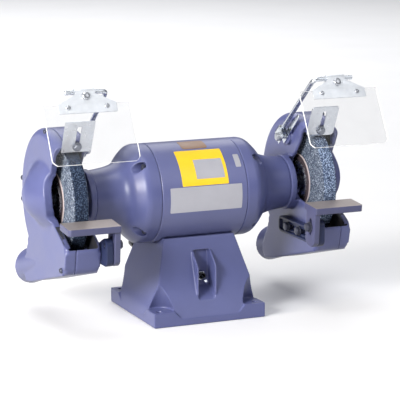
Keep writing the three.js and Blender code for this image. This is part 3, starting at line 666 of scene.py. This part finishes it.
def pedestal():
    def wrench_room(extra):
        wide, wall_top = 25 + extra, PAD_Z + 3
        return at_bench_bolts(lambda x, y: join([cone_z(wide, x, y, PAD_Z - extra, wall_top + 0.01),
                                                 cone_z(wide, x, y, wall_top, 92 + extra, 4 + extra)]))
    hollow = flared([(72, 72, 3), (82, 80, 25), (83.5, 79, 52), (79, 74, 70), (70.5, 64, 100),
                     (65.5, 58, 117)])
    inside = cut(hollow, wrench_room(6))
    outside = flared(FLARE)
    front = copy_of(outside)
    lip = block((-BASE_X, -BASE_Y, 0), (BASE_X, BASE_Y, LIP_Z + 0.01))
    pads = [corner_pad(x, y) for x in (-1, 1) for y in (-1, 1)]
    shell = cut(join([cut(outside, wrench_room(0)), lip, *pads]), [inside])
    room = slab_x([(-50, 36), (-140, 36), (-140, 126), (-50, 126)], -20, 20)
    fin = rounded([(-55, 121), (-66, 118.5), (-91, 94), (-91, 43), (-55, 43)], 6)
    body = join([shell, common(front, room), slab_x(fin, -18.2, -15), slab_x(fin, 15, 18.2)])
    well = slab_x([(-56, 119), (-140, 119), (-140, 38), (-92, 38), (-62, 58)], -15, 15)
    cut(body, [well, rod_x(MOTOR_RADIUS + GAP, -200, 200, 0, SHAFT_Z, 160),
               rod_y(6.3, 0, SWITCH_Z, -70, -40), rod_y(6.4, GLAND_X, GLAND_Z, 40, 90),
               cone_z(10, 20, 0, 100, 140), block((-78.5, -78.5, -1), (78.5, 78.5, 3))])
    cut(body, at_bench_bolts(lambda x, y: cone_z(BOLT_RADIUS, x, y, -1, PAD_Z + 5)))
    cast(body, 1.25, 5)
    for vertex in body.data.vertices:
        vertex.co.z = max(vertex.co.z, 0.0)
    return body


def gland():
    def place(along, u, v):
        return (GLAND_X + u, along, GLAND_Z + v)
    dome = lathe([(78, 4), (78, 8.5), (92, 8.5), (97, 7.6), (99.5, 6.2), (100, 5), (100, 4), (78, 4)],
                 48, place)
    at = facing_front(GLAND_X, 0, GLAND_Z)
    rib = [(7.4, -0.6), (8.5, -0.6), (8.5, 0.6), (7.4, 0.6)]
    ribs = [plate(rib, [], -90, -79, at @ Matrix.Rotation(i * math.pi / 9, 4, "Z"), 0.2) for i in range(18)]
    nut = plate(hexagon(18.2), [circle(4, 24)], -78, -71.5, at, 0.6)
    neck = lathe([(54, 4), (54, 6), (72, 6), (72, 4), (54, 4)], 36, place)
    return merged([dome, nut, neck, *ribs])


def toggle():
    profile = smooth_line([(-14, 1.7), (-6, 1.8), (3, 2.7), (9, 3.5)], 5)
    tip = [(9 + 3 * math.sin(t), 3.5 * math.cos(t)) for t in (0.4, 0.8, 1.2)]
    turn = Matrix.Translation((0, -76, SWITCH_Z - 3)) @ Matrix.Rotation(0.28, 4, "X")
    return lathe([(-14, 0), *profile, *tip, (12, 0)], 32, lambda a, u, v: turn @ Vector((u, -a, v)))


# ------------------------------------------------------------------ motor
def at_end_bolts(make):
    return [make(y, SHAFT_Z + z) for y in (-END_BOLT, END_BOLT) for z in (-END_BOLT, END_BOLT)]


def motor_shell():
    half, radius = MOTOR_HALF - GAP / 2, MOTOR_RADIUS
    return turned([(-half, radius - 5), (-half, radius - 0.8), (-half + 0.8, radius), (half - 0.8, radius),
                   (half, radius - 0.8), (half, radius - 5), (-half, radius - 5)], 256)


def end_bell():
    start = MOTOR_HALF + GAP / 2
    curve = smooth_line([(96, 86), (98, 85.8), (105, 83.6), (112, 78), (120, 70), (127, 61), (134, 55.3),
                         (144, 51.5), (158, 48.5), (NECK_END, NECK_RADIUS)], 6)
    envelope = turned([(start, 0), (start, 85.2), (start + 0.8, 86), *curve, (NECK_END, 0)], 192)
    hollow = turned([(start - 1, 0), (start - 1, 81), (93, 81), (104, 74), (116, 62), (126, 52),
                     (136, 46.5), (148, 44), (150, 26.3), (174, 26.3), (174, 18), (NECK_END + 1, 18),
                     (NECK_END + 1, 0)], 96)
    bosses = at_end_bolts(lambda y, z: common(rod_x(12, 86, 130, y, z), copy_of(envelope)))
    body = join([cut(envelope, [hollow]), *bosses])
    cut(body, at_end_bolts(lambda y, z: rod_x(8.5, 98, 140, y, z)))
    cut(body, at_end_bolts(lambda y, z: rod_x(2.9, 70, 120, y, z, 16)))
    return cast(body, 1.3, 5)


def through_bolt(y, z):
    """Its two visible ends, each with a head and a stretch of shank."""
    ends = (facing_in(0, y, z), facing_out(0, y, z))
    return merged([hex_bolt(end, 10, 98.3, 104.0, 2.5, 20) for end in ends])


# ------------------------------------------------------------------ spindle
def spindle_shaft():
    pitch, thread = 1.6, []
    x = 251.0
    while x < 265:
        thread += [(x, 9.5), (x + pitch / 2, 8.6)]
        x += pitch
    half = [(50, 15), (50, 14), (150, 14), (150, 12.5), (206.2, 12.5), (206.2, 9.5), *thread, (266.5, 8)]
    return turned([(-266.5, 0), *[(-x, r) for x, r in reversed(half)], *half, (266.5, 0)], 64)


def wheel(tread):
    r, a, b = WHEEL_RADIUS, WHEEL_IN, WHEEL_OUT
    across = [a + 1.3 + i * (WHEEL_WIDTH - 2.6) / 12 for i in range(13)]
    side_in = [(a, BORE + i * (r - 1.5 - BORE) / 34) for i in range(35)]
    side_out = [(b, radius) for _, radius in reversed(side_in)]
    body = turned([*side_in, *[(x, r) for x in across], *side_out, side_in[0]], 300)
    for vertex in body.data.vertices:
        p = vertex.co
        radius = math.hypot(p.y, p.z - SHAFT_Z)
        if radius > r - 1.6:
            rough = noise.noise(p * 0.45) * 0.28 + noise.noise(p * 1.3) * 0.14 - 0.42
            scale = (radius + rough) / radius
            p.y, p.z = p.y * scale, SHAFT_Z + (p.z - SHAFT_Z) * scale
    return two_tone(body, "abrasive", tread, lambda p, n: abs(n.x) < 0.6)


def paper_disc(side):
    """The ring of a paper washer that shows round a flange, on the wheel's side, paler at its rim."""
    face = WHEEL_IN if side < 0 else WHEEL_OUT
    low, high = sorted((face + side * 0.05, face + side * 1.4))
    near, rim, far = FLANGE_RADIUS + 0.6, PAPER_RADIUS - 2.2, PAPER_RADIUS
    ring = turned([(low, near), (low, rim), (low, far), (high, far), (high, rim), (high, near),
                   (low, near)], 160)
    return two_tone(ring, "paper_dark", "paper", lambda p, n: math.hypot(p.y, p.z - SHAFT_Z) > rim)


def flange(side):
    face = WHEEL_IN - GAP if side < 0 else WHEEL_OUT + GAP
    back = face + side * FLANGE_WIDTH
    hub = smooth_line([(face + side * 4, FLANGE_RADIUS - 0.8), (face + side * 5.6, 32),
                       (back - side * 1.6, 23), (back, 18)], 5)
    line = [(face, FLANGE_RADIUS - 10), (face, FLANGE_RADIUS - 0.6), (face + side * 0.6, FLANGE_RADIUS),
            (face + side * 3.4, FLANGE_RADIUS), *hub, (back, BORE), (face + side * 2, BORE),
            (face + side * 2, FLANGE_RADIUS - 11), (face, FLANGE_RADIUS - 10)]
    return turned(line, 96)


def spindle_nut():
    start = WHEEL_OUT + GAP + FLANGE_WIDTH + GAP
    return plate(hexagon(28), [circle(BORE, 40)], 0, 10, facing_out(start, 0, SHAFT_Z), 0.9)


# ------------------------------------------------------------------ exhaust guards
def spark_point(down, out):
    return (SPARK[1] + down * math.sin(SPARK_LEAN) - out * math.cos(SPARK_LEAN),
            SPARK[2] - down * math.cos(SPARK_LEAN) - out * math.sin(SPARK_LEAN))


def swell(inset):
    bm = bmesh.new()
    for x, y, z, half_y, half_z in smooth_line(SWELL, 4):
        for i in range(72):
            angle = 2 * math.pi * i / 72
            bm.verts.new((x - inset, y + (half_y - inset * 0.7) * math.cos(angle),
                          z + (half_z - inset * 0.7) * math.sin(angle)))
    hull = bmesh.ops.convex_hull(bm, input=bm.verts)
    inside = [g for g in hull["geom_interior"] if isinstance(g, bmesh.types.BMVert)]
    bmesh.ops.delete(bm, geom=inside, context="VERTS")
    return from_bmesh("swell", bm)


def mouth_edge(back):
    """The cover's front edge beside the wheel, from the spark guard's seat down to the chute's lip."""
    edge = smooth_line([(-50, 280), (-41, 258), (-45, 243), (-50, 225), (-49, 206), (-45, 192), (-53, 184),
                        (-76, 173), (-99, 161), (-113, 153)], 3)
    return [(y + back, z - back * 0.4) for y, z in [spark_point(33, 0), *edge]]


def mouth_tool():
    return slab_x([(-220, 400), spark_point(-30, 0), *mouth_edge(0), (-220, 153)], 150, 320)


def inner_mouth_tool():
    edge = smooth_line([(-57, 322), (-44, 304), (-34, 285), (-20, 268), (-4, 253), (-5.5, 239), (-25, 229),
                        (-29.5, 205), (-26, 191), (-56, 184)], 4)
    return slab_x([(-220, 330), *edge, (-220, 184)], 150, GUARD_IN + GUARD_WALL + 0.5)


def port_pipe(end_radius, y0, y1):
    def radius(y):
        return end_radius - PORT_TAPER * (PORT_END - y)
    turn = (Matrix.Translation((0, PORT_END, PORT_Z)) @ Matrix.Rotation(-math.atan(PORT_SLOPE), 4, "X")
            @ Matrix.Translation((0, -PORT_END, -PORT_Z)))
    return lathe([(y0, 0), (y0, radius(y0)), (y1, radius(y1)), (y1, 0)], 96,
                 lambda a, u, v: turn @ Vector((PORT_X + u, a, PORT_Z + v)))


def guard_shell():
    inner, outer, radius = GUARD_IN, GUARD_OUT, GUARD_RADIUS
    arc = [(13 * (1 - math.sin(t)), radius - 14 * (1 - math.cos(t)))
           for t in (i * math.pi / 16 for i in range(9))]
    drum = turned([(inner, 0), *[(inner + d, r) for d, r in reversed(arc)],
                   *[(outer - d, r) for d, r in arc], (outer, 0)], 192)
    wall = GUARD_WALL
    room = turned([(inner + wall, 0), (inner + wall, radius - 18), (inner + 12, radius - wall),
                   (outer - 12, radius - wall), (outer - wall, radius - 18), (outer - wall, 0)], 128)
    chute = slab_x(rounded([(-107, 107), (70, 59), (112, 52), (112, 92), (86, 112), (88, 140), (40, 190),
                            (-60, 190), (-118, 153)], 11), inner, outer, 7)
    chute_room = slab_x(rounded([(-101.5, 112), (70, 66), (104, 60), (104, 88), (79, 110), (80, 140),
                                 (35, 185), (-150, 185), (-113, 149)], 7), inner + wall, outer - wall, 4)
    port = cut(port_pipe(PORT_RADIUS, -10, PORT_END + 30), [block((150, PORT_END, -50), (300, 300, 200))])
    rim = slab_x(mouth_edge(0) + mouth_edge(7)[::-1], outer - RIM_DEPTH, outer + 40)
    hollow = cut(join([room, chute_room, swell(wall)]), [cut(rim, [swell(RIM_DEPTH)])])
    return cut(join([drum, chute, port, swell(0)]), [hollow, port_pipe(PORT_BORE, -10, PORT_END + 60)])


def largest_shell(obj):
    """Keeps only the biggest connected part."""
    bm = bmesh.new()
    bm.from_mesh(obj.data)
    seen, best = set(), []
    for start in bm.verts:
        if start in seen:
            continue
        stack, found = [start], []
        seen.add(start)
        while stack:
            vertex = stack.pop()
            found.append(vertex)
            for edge in vertex.link_edges:
                other = edge.other_vert(vertex)
                if other not in seen:
                    seen.add(other)
                    stack.append(other)
        best = found if len(found) > len(best) else best
    keep = set(best)
    bmesh.ops.delete(bm, geom=[v for v in bm.verts if v not in keep], context="VERTS")
    bm.to_mesh(obj.data)
    bm.free()
    return obj


def is_inside_wall(p, n):
    """True on the inside walls of a guard, which are dark."""
    radius = math.hypot(p.y, p.z - SHAFT_Z)
    if p.x < GUARD_IN + 3 or radius > GUARD_RADIUS + 30 or (p.y > 80 and p.z < 125):
        return False
    towards_axis = n.y * p.y + n.z * (p.z - SHAFT_Z) < 0 and radius > 60 and abs(n.x) < 0.75
    across = (n.x > 0.5 and p.x < 215) or (n.x < -0.5 and p.x > 250)
    in_mouth = p.y < -45 and radius < GUARD_RADIUS + 5 and p.z > 180
    return (across or towards_axis) and not in_mouth


def guard_housing(shell):
    body = common(shell, block((150, -200, 0), (GUARD_SPLIT - GAP / 2, 200, 400)))
    cut(body, [mouth_tool(), inner_mouth_tool()])
    collar = rod_x(COLLAR_RADIUS, NECK_END + GAP, COLLAR_END, 0, SHAFT_Z, 128)
    web = rod_x(COLLAR_RADIUS, COLLAR_END - 1, GUARD_IN + GUARD_WALL, 0, SHAFT_Z, 128)
    cut(web, [inner_mouth_tool()])
    boss = slab_x([spark_point(-11, -GAP), spark_point(9, -GAP), spark_point(9, -14), spark_point(-3, -20),
                   spark_point(-11, -14)], SPARK[0] - 12, SPARK[0] + 12)
    clamp_boss = rod_x(15, 194.2, GUARD_IN + 3, CLAMP_AT.y, CLAMP_AT.z)
    pads = [rod_x(9, GUARD_IN, GUARD_IN + 13, y, BRACKET_Z) for y in BRACKET_BOLTS]
    body = join([body, collar, web, boss, clamp_boss, *pads])
    cut(body, [rod_x(30, 150, GUARD_IN + GUARD_WALL + 0.2, 0, SHAFT_Z, 96),
               rod_x(4.1, 190, GUARD_IN + 2, CLAMP_AT.y, CLAMP_AT.z, 24),
               *[rod_x(4.2, 190, GUARD_IN + 10, y, BRACKET_Z, 24) for y in BRACKET_BOLTS]])
    return two_tone(largest_shell(cast(body, 1.35, 5)), "enamel", "guard_inside", is_inside_wall)


def guard_cover(shell):
    body = common(shell, block((GUARD_SPLIT + GAP / 2, -200, 0), (320, 200, 400)))
    cut(body, [mouth_tool()])
    body = largest_shell(cast(body, 1.35, 5))

    def near_swell(p):
        """1 on the line where the swell meets the flat side, fading to 0 on both sides of it."""
        if p.x < GUARD_OUT - 2.5 or p.y < -46:
            return 0
        reach = math.hypot((p.y + 1) / 78, (p.z - 224) / 55)
        return max(0.0, 1 - abs(reach - 1.0) / 0.42) * min(1.0, (p.y + 46) / 14)
    soften_where(body, near_swell, 170)
    return two_tone(body, "enamel", "guard_inside", is_inside_wall)


def cover_screws():
    """The screws that hold a cover to its housing: (x of the seat, y, z)."""
    seats = [(257.6, -10, 332), (258.2, 117, 234), (258.2, 118, 197), (262, -94, 113)]
    return merged([pan_screw(facing_out(*seat), 4.6, 4.6) for seat in seats])


# ------------------------------------------------------------------ spark guard, rest and bracket
def spark_guard(corner):
    outline = rounded([(-26, -11), (26, -11), (26, 48), (-26, 48)], corner)
    return plate(outline, [slot_outline(3.8, -2.7, 35.2)], GAP, GAP + 2, SPARK_PLANE, 0.3)


def tool_rest():
    x0, x1, y0, y1, clip = REST_X0, REST_X1, REST_Y0, REST_Y1, REST_CLIP
    table = slab_z(rounded([(x0, y1), (x0, y0), (x1 - clip, y0), (x1, y0 + clip), (x1, y1)], 1.6),
                   REST_Z - REST_THICK, REST_Z)
    y, z = REST_BOLT
    leg = slab_x(rounded([(y - 17, REST_Z - 5), (y - 17, z - 26), (y - 9, z - 34), (y + 9, z - 34),
                          (y + 17, z - 26), (y + 17, REST_Z - 5)], 3), x0, x0 + REST_LEG)
    slot = [(y + u, v) for u, v in slot_outline(4.3, z - 10.7, z + 10.7)]
    body = cast(cut(join([table, leg]), [slab_x(slot, x0 - 5, x0 + REST_LEG + 5)]), 0.85, 4)
    two_tone(body, "rest_side", "ground_iron", lambda p, n: n.z > 0.9 and p.z > REST_Z - 1)
    body.data.transform(Matrix.Translation((0, y, z)) @ Matrix.Rotation(REST_TILT, 4, "X")
                        @ Matrix.Translation((0, -y, -z)))
    return body


def rest_bracket():
    y, z = REST_BOLT
    ear = rod_x(12, BRACKET_NEAR, BRACKET_FAR, y, z, 64)
    arm = slab_x(rounded([(14, 150), (-85, 150), (-104, 158), (-122, 167), (-139, 158), (-139, 128),
                          (-132, 121), (14, 121), (19, 127), (19, 144)], 5), BRACKET_NEAR, BRACKET_FAR, 1.5)
    slot = slab_x([(v, BRACKET_Z - u) for u, v in slot_outline(4.6, -80, 0)], 180, 210)
    panel = slab_x(rounded([(14, 126), (14, 145), (-98, 145), (-98, 126)], 5), 180, BRACKET_NEAR + 4)
    return cast(cut(join([arm, ear]), [slot, rod_x(4.3, 180, 210, y, z), panel]), 0.8, 5)


def rest_bolt():
    return hex_bolt(facing_in(REST_X0, *REST_BOLT), 13, 2.0, 8.0, 4, -21, (9.5, GAP, 2.2))


def bracket_bolt(y):
    at = facing_in(BRACKET_NEAR + 4 - GAP, y, BRACKET_Z)
    return hex_bolt(at, 13, 1.5, 7.0, 3.9, -16, (8.2, 0, 1.6))


# ------------------------------------------------------------------ eye shield
def shield_sheet():
    half, low = SHIELD_WIDTH / 2, -(SHIELD_TOP + SHIELD_HEIGHT)
    outline = rounded([(-half, -SHIELD_TOP), (-half, low + 7), (-half + 7, low), (half - 7, low),
                       (half, low + 7), (half, -SHIELD_TOP)], 2.5)
    sheet = plate(outline, [], SHEET_FACE - SHIELD_THICK, SHEET_FACE, SHIELD_PLANE, 0.25)
    out = (SHIELD_PLANE.to_3x3() @ Vector((0, 0, 1))).normalized()
    # The sheet's edge faces get the painted-highlight material.
    return two_tone(sheet, "clear_plastic", "sheet_edge_highlight", lambda p, n: abs(n.dot(out)) < 0.9)


def shield_bracket():
    """The folded plate that grips the rod and holds the sheet, and its two screws."""
    half, inner, outer = 17, 4.4, 6
    hole = circle(2.9, 20, 0, -9)
    front = plate(rounded([(-half, 0), (-half, -5), (-50, -22), (-50, -38), (50, -38), (50, -22),
                           (half, -5), (half, 0)], 2), [hole], inner, outer, SHIELD_PLANE, 0.25)
    back = plate([(-half, 0.5), (-half, -14), (half, -14), (half, 0.5)], [hole], -outer, -inner,
                 SHIELD_PLANE, 0.25)
    arc = [math.pi * i / 16 for i in range(17)]
    roll = [(outer * math.cos(a), outer * math.sin(a)) for a in arc]
    roll += [(inner * math.cos(a), inner * math.sin(a)) for a in arc[::-1]]
    bridge = plate(roll, [], -half, half, SHIELD_PLANE @ facing_in(0, 0, 0), 0.2)
    screws = [pan_screw(SHIELD_PLANE @ Matrix.Translation((x, -28, outer)), 4, 2.4, 1.8, 5.5)
              for x in (-33, 33)]
    return merged([front, back, bridge]), merged(screws)


def shield_bolt():
    at = SHIELD_PLANE @ Matrix.Translation((0, -9, 0))
    dome = [(7.6 + 2.9 * math.sin(t), 6.8 * math.cos(t)) for t in (0.35, 0.7, 1.05)]
    head = lathe([(6.3, 0), (6.3, 6.8), (7.6, 6.8), *dome, (10.5, 0)], 40,
                 lambda a, u, v: at @ Vector((u, v, a)))
    return merged([head, plate(circle(2.5, 20), [], -9.5, 6.5, at, 0.4),
                   plate(hexagon(8.7), [], -9.4, -6.3, at, 0.4)])


def shield_rod():
    corner = Vector((ROD_X, ROD_Y, ROD_Z))
    down = Vector((0, math.cos(ROD_FALL), -math.sin(ROD_FALL)))
    start = Vector((ROD_END_X, ROD_Y, ROD_Z))
    bend_a, bend_b = corner + Vector((11, 0, 0)), corner + down * 11
    line = [start, start - Vector((0.8, 0, 0))]
    line += [bend_a * (1 - t) ** 2 + corner * 2 * t * (1 - t) + bend_b * t * t
             for t in (i / 14 for i in range(15))]
    end = corner + down * ROD_LENGTH
    return tube([*line, end - down * 0.8, end], ROD_RADIUS)


def rod_clamp():
    near, far = ROD_X - ROD_RADIUS - GAP, ROD_X + ROD_RADIUS + GAP
    start, stop = CLAMP_ALONG - 12, CLAMP_ALONG + 12
    hole = circle(4.1, 24, CLAMP_ALONG, -CLAMP_BELOW)
    cheek = rounded([(start, 6), (stop, 6), (stop, -19), (start, -19)], 2)
    tail = rounded([(start + 3, -6.5), (start - 56, -8), (start - 59, -12), (start - 56, -16),
                    (start + 3, -17.5)], 3)
    bridge = [(start, 6), (stop, 6), (stop, 4.4), (start, 4.4)]
    strips = [(cheek, [hole], near - STRIP, near), (cheek, [hole], far, far + STRIP),
              (tail, [], far, far + STRIP), (bridge, [], near - STRIP, far + STRIP)]
    return merged([plate(*strip, ROD_PLANE, 0.25) for strip in strips])


def clamp_bolt():
    at = facing_in(ROD_X - ROD_RADIUS - 2 * GAP - STRIP, CLAMP_AT.y, CLAMP_AT.z)
    return hex_bolt(at, 13, 1.4, 6.5, 3.8, -18, (8, 0, 1.5))


# ------------------------------------------------------------------ blank plates on the motor
def wrapped(x0, x1, low, high, lift, thick=0.25, corner=2.0):
    """A thin blank plate on the front of the motor, between two angles above its level line."""
    radius = MOTOR_RADIUS + lift
    v0, v1 = math.radians(low) * radius, math.radians(high) * radius
    outline = rounded([(x0, v0), (x1, v0), (x1, v1), (x0, v1)], corner)
    steps_v = max(6, int((v1 - v0) / 1.5))
    bm = bmesh.new()
    bm.faces.new([bm.verts.new((u, v, 0)) for u, v in outline])
    for i in range(1, steps_v):
        cut_at = v0 + (v1 - v0) * i / steps_v
        bmesh.ops.bisect_plane(bm, geom=bm.verts[:] + bm.edges[:] + bm.faces[:], plane_co=(0, cut_at, 0),
                               plane_no=(0, 1, 0))
    extruded = bmesh.ops.extrude_face_region(bm, geom=bm.faces[:])
    for item in extruded["geom"]:
        if isinstance(item, bmesh.types.BMVert):
            item.co.z = thick
    for vertex in bm.verts:
        angle = vertex.co.y / radius
        reach = radius + vertex.co.z
        vertex.co = (vertex.co.x, -reach * math.cos(angle), SHAFT_Z + reach * math.sin(angle))
    return from_bmesh("wrapped", bm)


# ------------------------------------------------------------------ assembly
piece(pedestal(), "pedestal_casting", "frame", "enamel", "pedestal_base")
piece(plate(rounded([(-78, -78), (78, -78), (78, 78), (-78, 78)], 3), [], 0, 2.5, Matrix.Identity(4), 0.3),
      "bottom_plate", "frame", "steel", "base_cover_plate")
piece(gland(), "gland", "frame", "black_plastic", "cord_gland")
piece(plate(hexagon(14.2), [circle(6.3, 32)], 62.6, 66, facing_front(0, 0, SWITCH_Z), 0.4),
      "switch_ring_nut", "frame", "zinc", "switch_nut")
piece(toggle(), "toggle_bat", "switch_lever", "zinc", "toggle_lever")

piece(motor_shell(), "motor_shell", "frame", "enamel", "motor_housing")
pair(end_bell(), "bell_casting", "frame", "enamel", "{}_end_bell")
for number, (y, z) in enumerate(at_end_bolts(lambda y, z: (y, z)), 1):
    piece(through_bolt(y, z), f"long_bolt_{number}", "frame", "dark_steel", f"through_bolt_{number}")

piece(spindle_shaft(), "shaft", "spindle", "steel", "spindle_shaft")
# The right tread gets the grit's painted-light tint, and the left tread gets its painted-shade tint.
piece(wheel("tread_painted_light"), "right_abrasive_wheel", "spindle", "abrasive", "right_wheel", angle=50)
piece(flipped(wheel("tread_painted_shade")), "left_abrasive_wheel", "spindle", "abrasive", "left_wheel", angle=50)
pair(paper_disc(1), "paper_outside", "spindle", "abrasive")
pair(paper_disc(-1), "paper_inside", "spindle", "abrasive")
pair(flange(-1), "flange_in", "spindle", "zinc", "{}_inner_flange")
pair(flange(1), "flange_out", "spindle", "zinc", "{}_outer_flange")
pair(spindle_nut(), "wheel_nut", "spindle", "zinc", "{}_spindle_nut")

shell = guard_shell()
pair(guard_housing(copy_of(shell)), "guard_casting", "frame", "enamel", "{}_guard_housing")
pair(guard_cover(shell), "cover_casting", "frame", "enamel", "{}_guard_cover")
pair(cover_screws(), "cover_screws", "frame", "dark_steel")

piece(spark_guard(7), "right_spark_plate", "right_spark_guard", "zinc", "right_spark_guard", "spark_zinc")
piece(flipped(spark_guard(1.5)), "left_spark_plate", "left_spark_guard", "zinc", "left_spark_guard",
      "spark_zinc")
pair(hex_bolt(SPARK_PLANE, 11.6, 4.0, 8.2, 2.8, -10, (8, 2.6, 4)), "spark_bolt", "frame", "steel",
     "{}_spark_guard_screw", "bolt_grey")

pair(tool_rest(), "rest_table", "{}_tool_rest", "ground_iron", "{}_tool_rest")
pair(rest_bracket(), "bracket_casting", "{}_rest_bracket", "enamel_dark", "{}_rest_bracket")
pair(rest_bolt(), "tilt_bolt", "{}_rest_bolt", "dark_steel", "{}_rest_bolt")
for number, y in enumerate(BRACKET_BOLTS, 1):
    pair(bracket_bolt(y), f"slide_bolt_{number}", "frame", "dark_steel", "{}_bracket_bolt_" + str(number))

pair(shield_sheet(), "clear_sheet", "{}_eye_shield", "clear_plastic", "{}_eye_shield")
bracket_plate, bracket_screws = shield_bracket()
pair(bracket_plate, "sheet_bracket", "{}_eye_shield", "zinc", "{}_shield_bracket", "pale_zinc")
pair(bracket_screws, "sheet_screws", "{}_eye_shield", "steel")
pair(shield_bolt(), "pinch_bolt", "{}_eye_shield", "steel", "{}_shield_bolt")
pair(shield_rod(), "bent_rod", "{}_shield_rod", "zinc", "{}_shield_rod")
pair(rod_clamp(), "clamp_strip", "{}_rod_clamp", "zinc", "{}_rod_clamp")
pair(clamp_bolt(), "arm_bolt", "frame", "steel", "{}_clamp_bolt")

for blank, look, edges in (
        ("plate_yellow", "plate_yellow", (-41.5, 43.7, 14.5, 61, 0.05)),
        ("plate_panel", "plate_white", (-14, 38, 22, 46, 0.32, 0.1, 1.0)),
        ("label_white", "plate_white", (-64.4, 67.8, -15.2, 13.6, 0.05)),
        ("tag_white", "plate_white", (62, 72, 33, 50, 0.05)),
        ("sticker", "sticker_bronze", (-23, 24, 64, 85, 0.05, 0.25, 6))):
    piece(wrapped(*edges), blank, "frame", "clear_plastic", material=look)

# The pieces inside keep their CAD shape and only get a material.
HIDDEN = {"start_capacitor": "black_plastic", "switch_body": "black_plastic", "stator_core": "laminations",
          "left_stator_winding": "copper", "right_stator_winding": "copper", "rotor": "laminations",
          "left_bearing": "bearing_steel", "right_bearing": "bearing_steel"}
for node_name, look in HIDDEN.items():
    NODES[node_name].data.materials.clear()
    NODES[node_name].data.materials.append(MATERIALS[look])


# ------------------------------------------------------------------ stage, light and camera
def floor():
    s = Surface("floor", (0.80, 0.80, 0.81), 0.0, 0.7)
    cloud = s.noise(s.place, 3, 2)
    s.set({"Base Color": s.ramp(cloud, [(0.3, (0.86, 0.86, 0.87)), (0.7, (0.88, 0.88, 0.89))])})
    bm = bmesh.new()
    bmesh.ops.create_grid(bm, x_segments=4, y_segments=4, size=12)
    plane = from_bmesh("floor", bm)
    plane.location.z = -0.0005
    plane.data.materials.append(s.material)


def soft_light(name, place, target, size, power, colour=(1, 1, 1)):
    lamp = bpy.data.lights.new(name, "AREA")
    lamp.shape = "DISK"
    lamp.size = size
    lamp.energy = power
    lamp.color = colour
    obj = link(name, lamp)
    obj.location = place
    obj.rotation_euler = (Vector(target) - Vector(place)).to_track_quat("-Z", "Y").to_euler()


def studio_world():
    """A pale room, dark round the walls and bright overhead, to give bare metal something to reflect."""
    world = bpy.data.worlds.new("studio")
    world.use_nodes = True
    sky = Nodes(world.node_tree)
    height = sky.add("SeparateXYZ", {"Vector": sky.add("TexCoord").outputs["Generated"]}).outputs["Z"]
    shades = sky.ramp(height, [(0.0, (0.16, 0.17, 0.20)), (0.22, (0.13, 0.14, 0.17)),
                               (0.42, (0.75, 0.76, 0.80)), (1.0, (0.85, 0.86, 0.88))])
    background = sky.tree.nodes["Background"]
    sky.put(background, "Color", shades)
    sky.put(background, "Strength", 0.52)
    bpy.context.scene.world = world


CAMERA_AZIMUTH, CAMERA_ELEVATION, CAMERA_ROLL = -23.38, 10.814, -0.079
CAMERA_LENS, CAMERA_DISTANCE, CAMERA_TARGET = 157.2, 3.050167, (0.025887, 0, 0.192724)


def camera():
    azimuth, elevation, roll = map(math.radians, (CAMERA_AZIMUTH, CAMERA_ELEVATION, CAMERA_ROLL))
    back = Vector((math.sin(azimuth) * math.cos(elevation), -math.cos(azimuth) * math.cos(elevation),
                   math.sin(elevation)))
    data = bpy.data.cameras.new("camera")
    data.sensor_width = 36
    data.lens = CAMERA_LENS
    data.clip_end = 60
    obj = link("camera", data)
    obj.location = Vector(CAMERA_TARGET) + back * CAMERA_DISTANCE
    obj.rotation_mode = "QUATERNION"
    turn = (-back).to_track_quat("-Z", "Y")
    obj.rotation_quaternion = turn @ Matrix.Rotation(roll, 3, "Z").to_quaternion()
    bpy.context.scene.camera = obj


floor()
soft_light("key", (-2.5, -1.5, 1.3), (0, 0, 0.2), 1.0, 94)
soft_light("side", (-2.8, -0.6, 0.9), (-0.2, 0, 0.15), 0.8, 58, (1.0, 0.92, 0.78))
soft_light("top", (-0.4, -0.2, 2.4), (0, 0, 0.2), 1.0, 12)
soft_light("front", (1.7, -2.6, 2.6), (0, 0, 0.3), 2.6, 22)
soft_light("back_floor", (0.5, 4.6, 3.4), (0.5, 4.6, 0), 6.0, 192)
studio_world()
bpy.context.scene.view_settings.view_transform = "Standard"
camera()
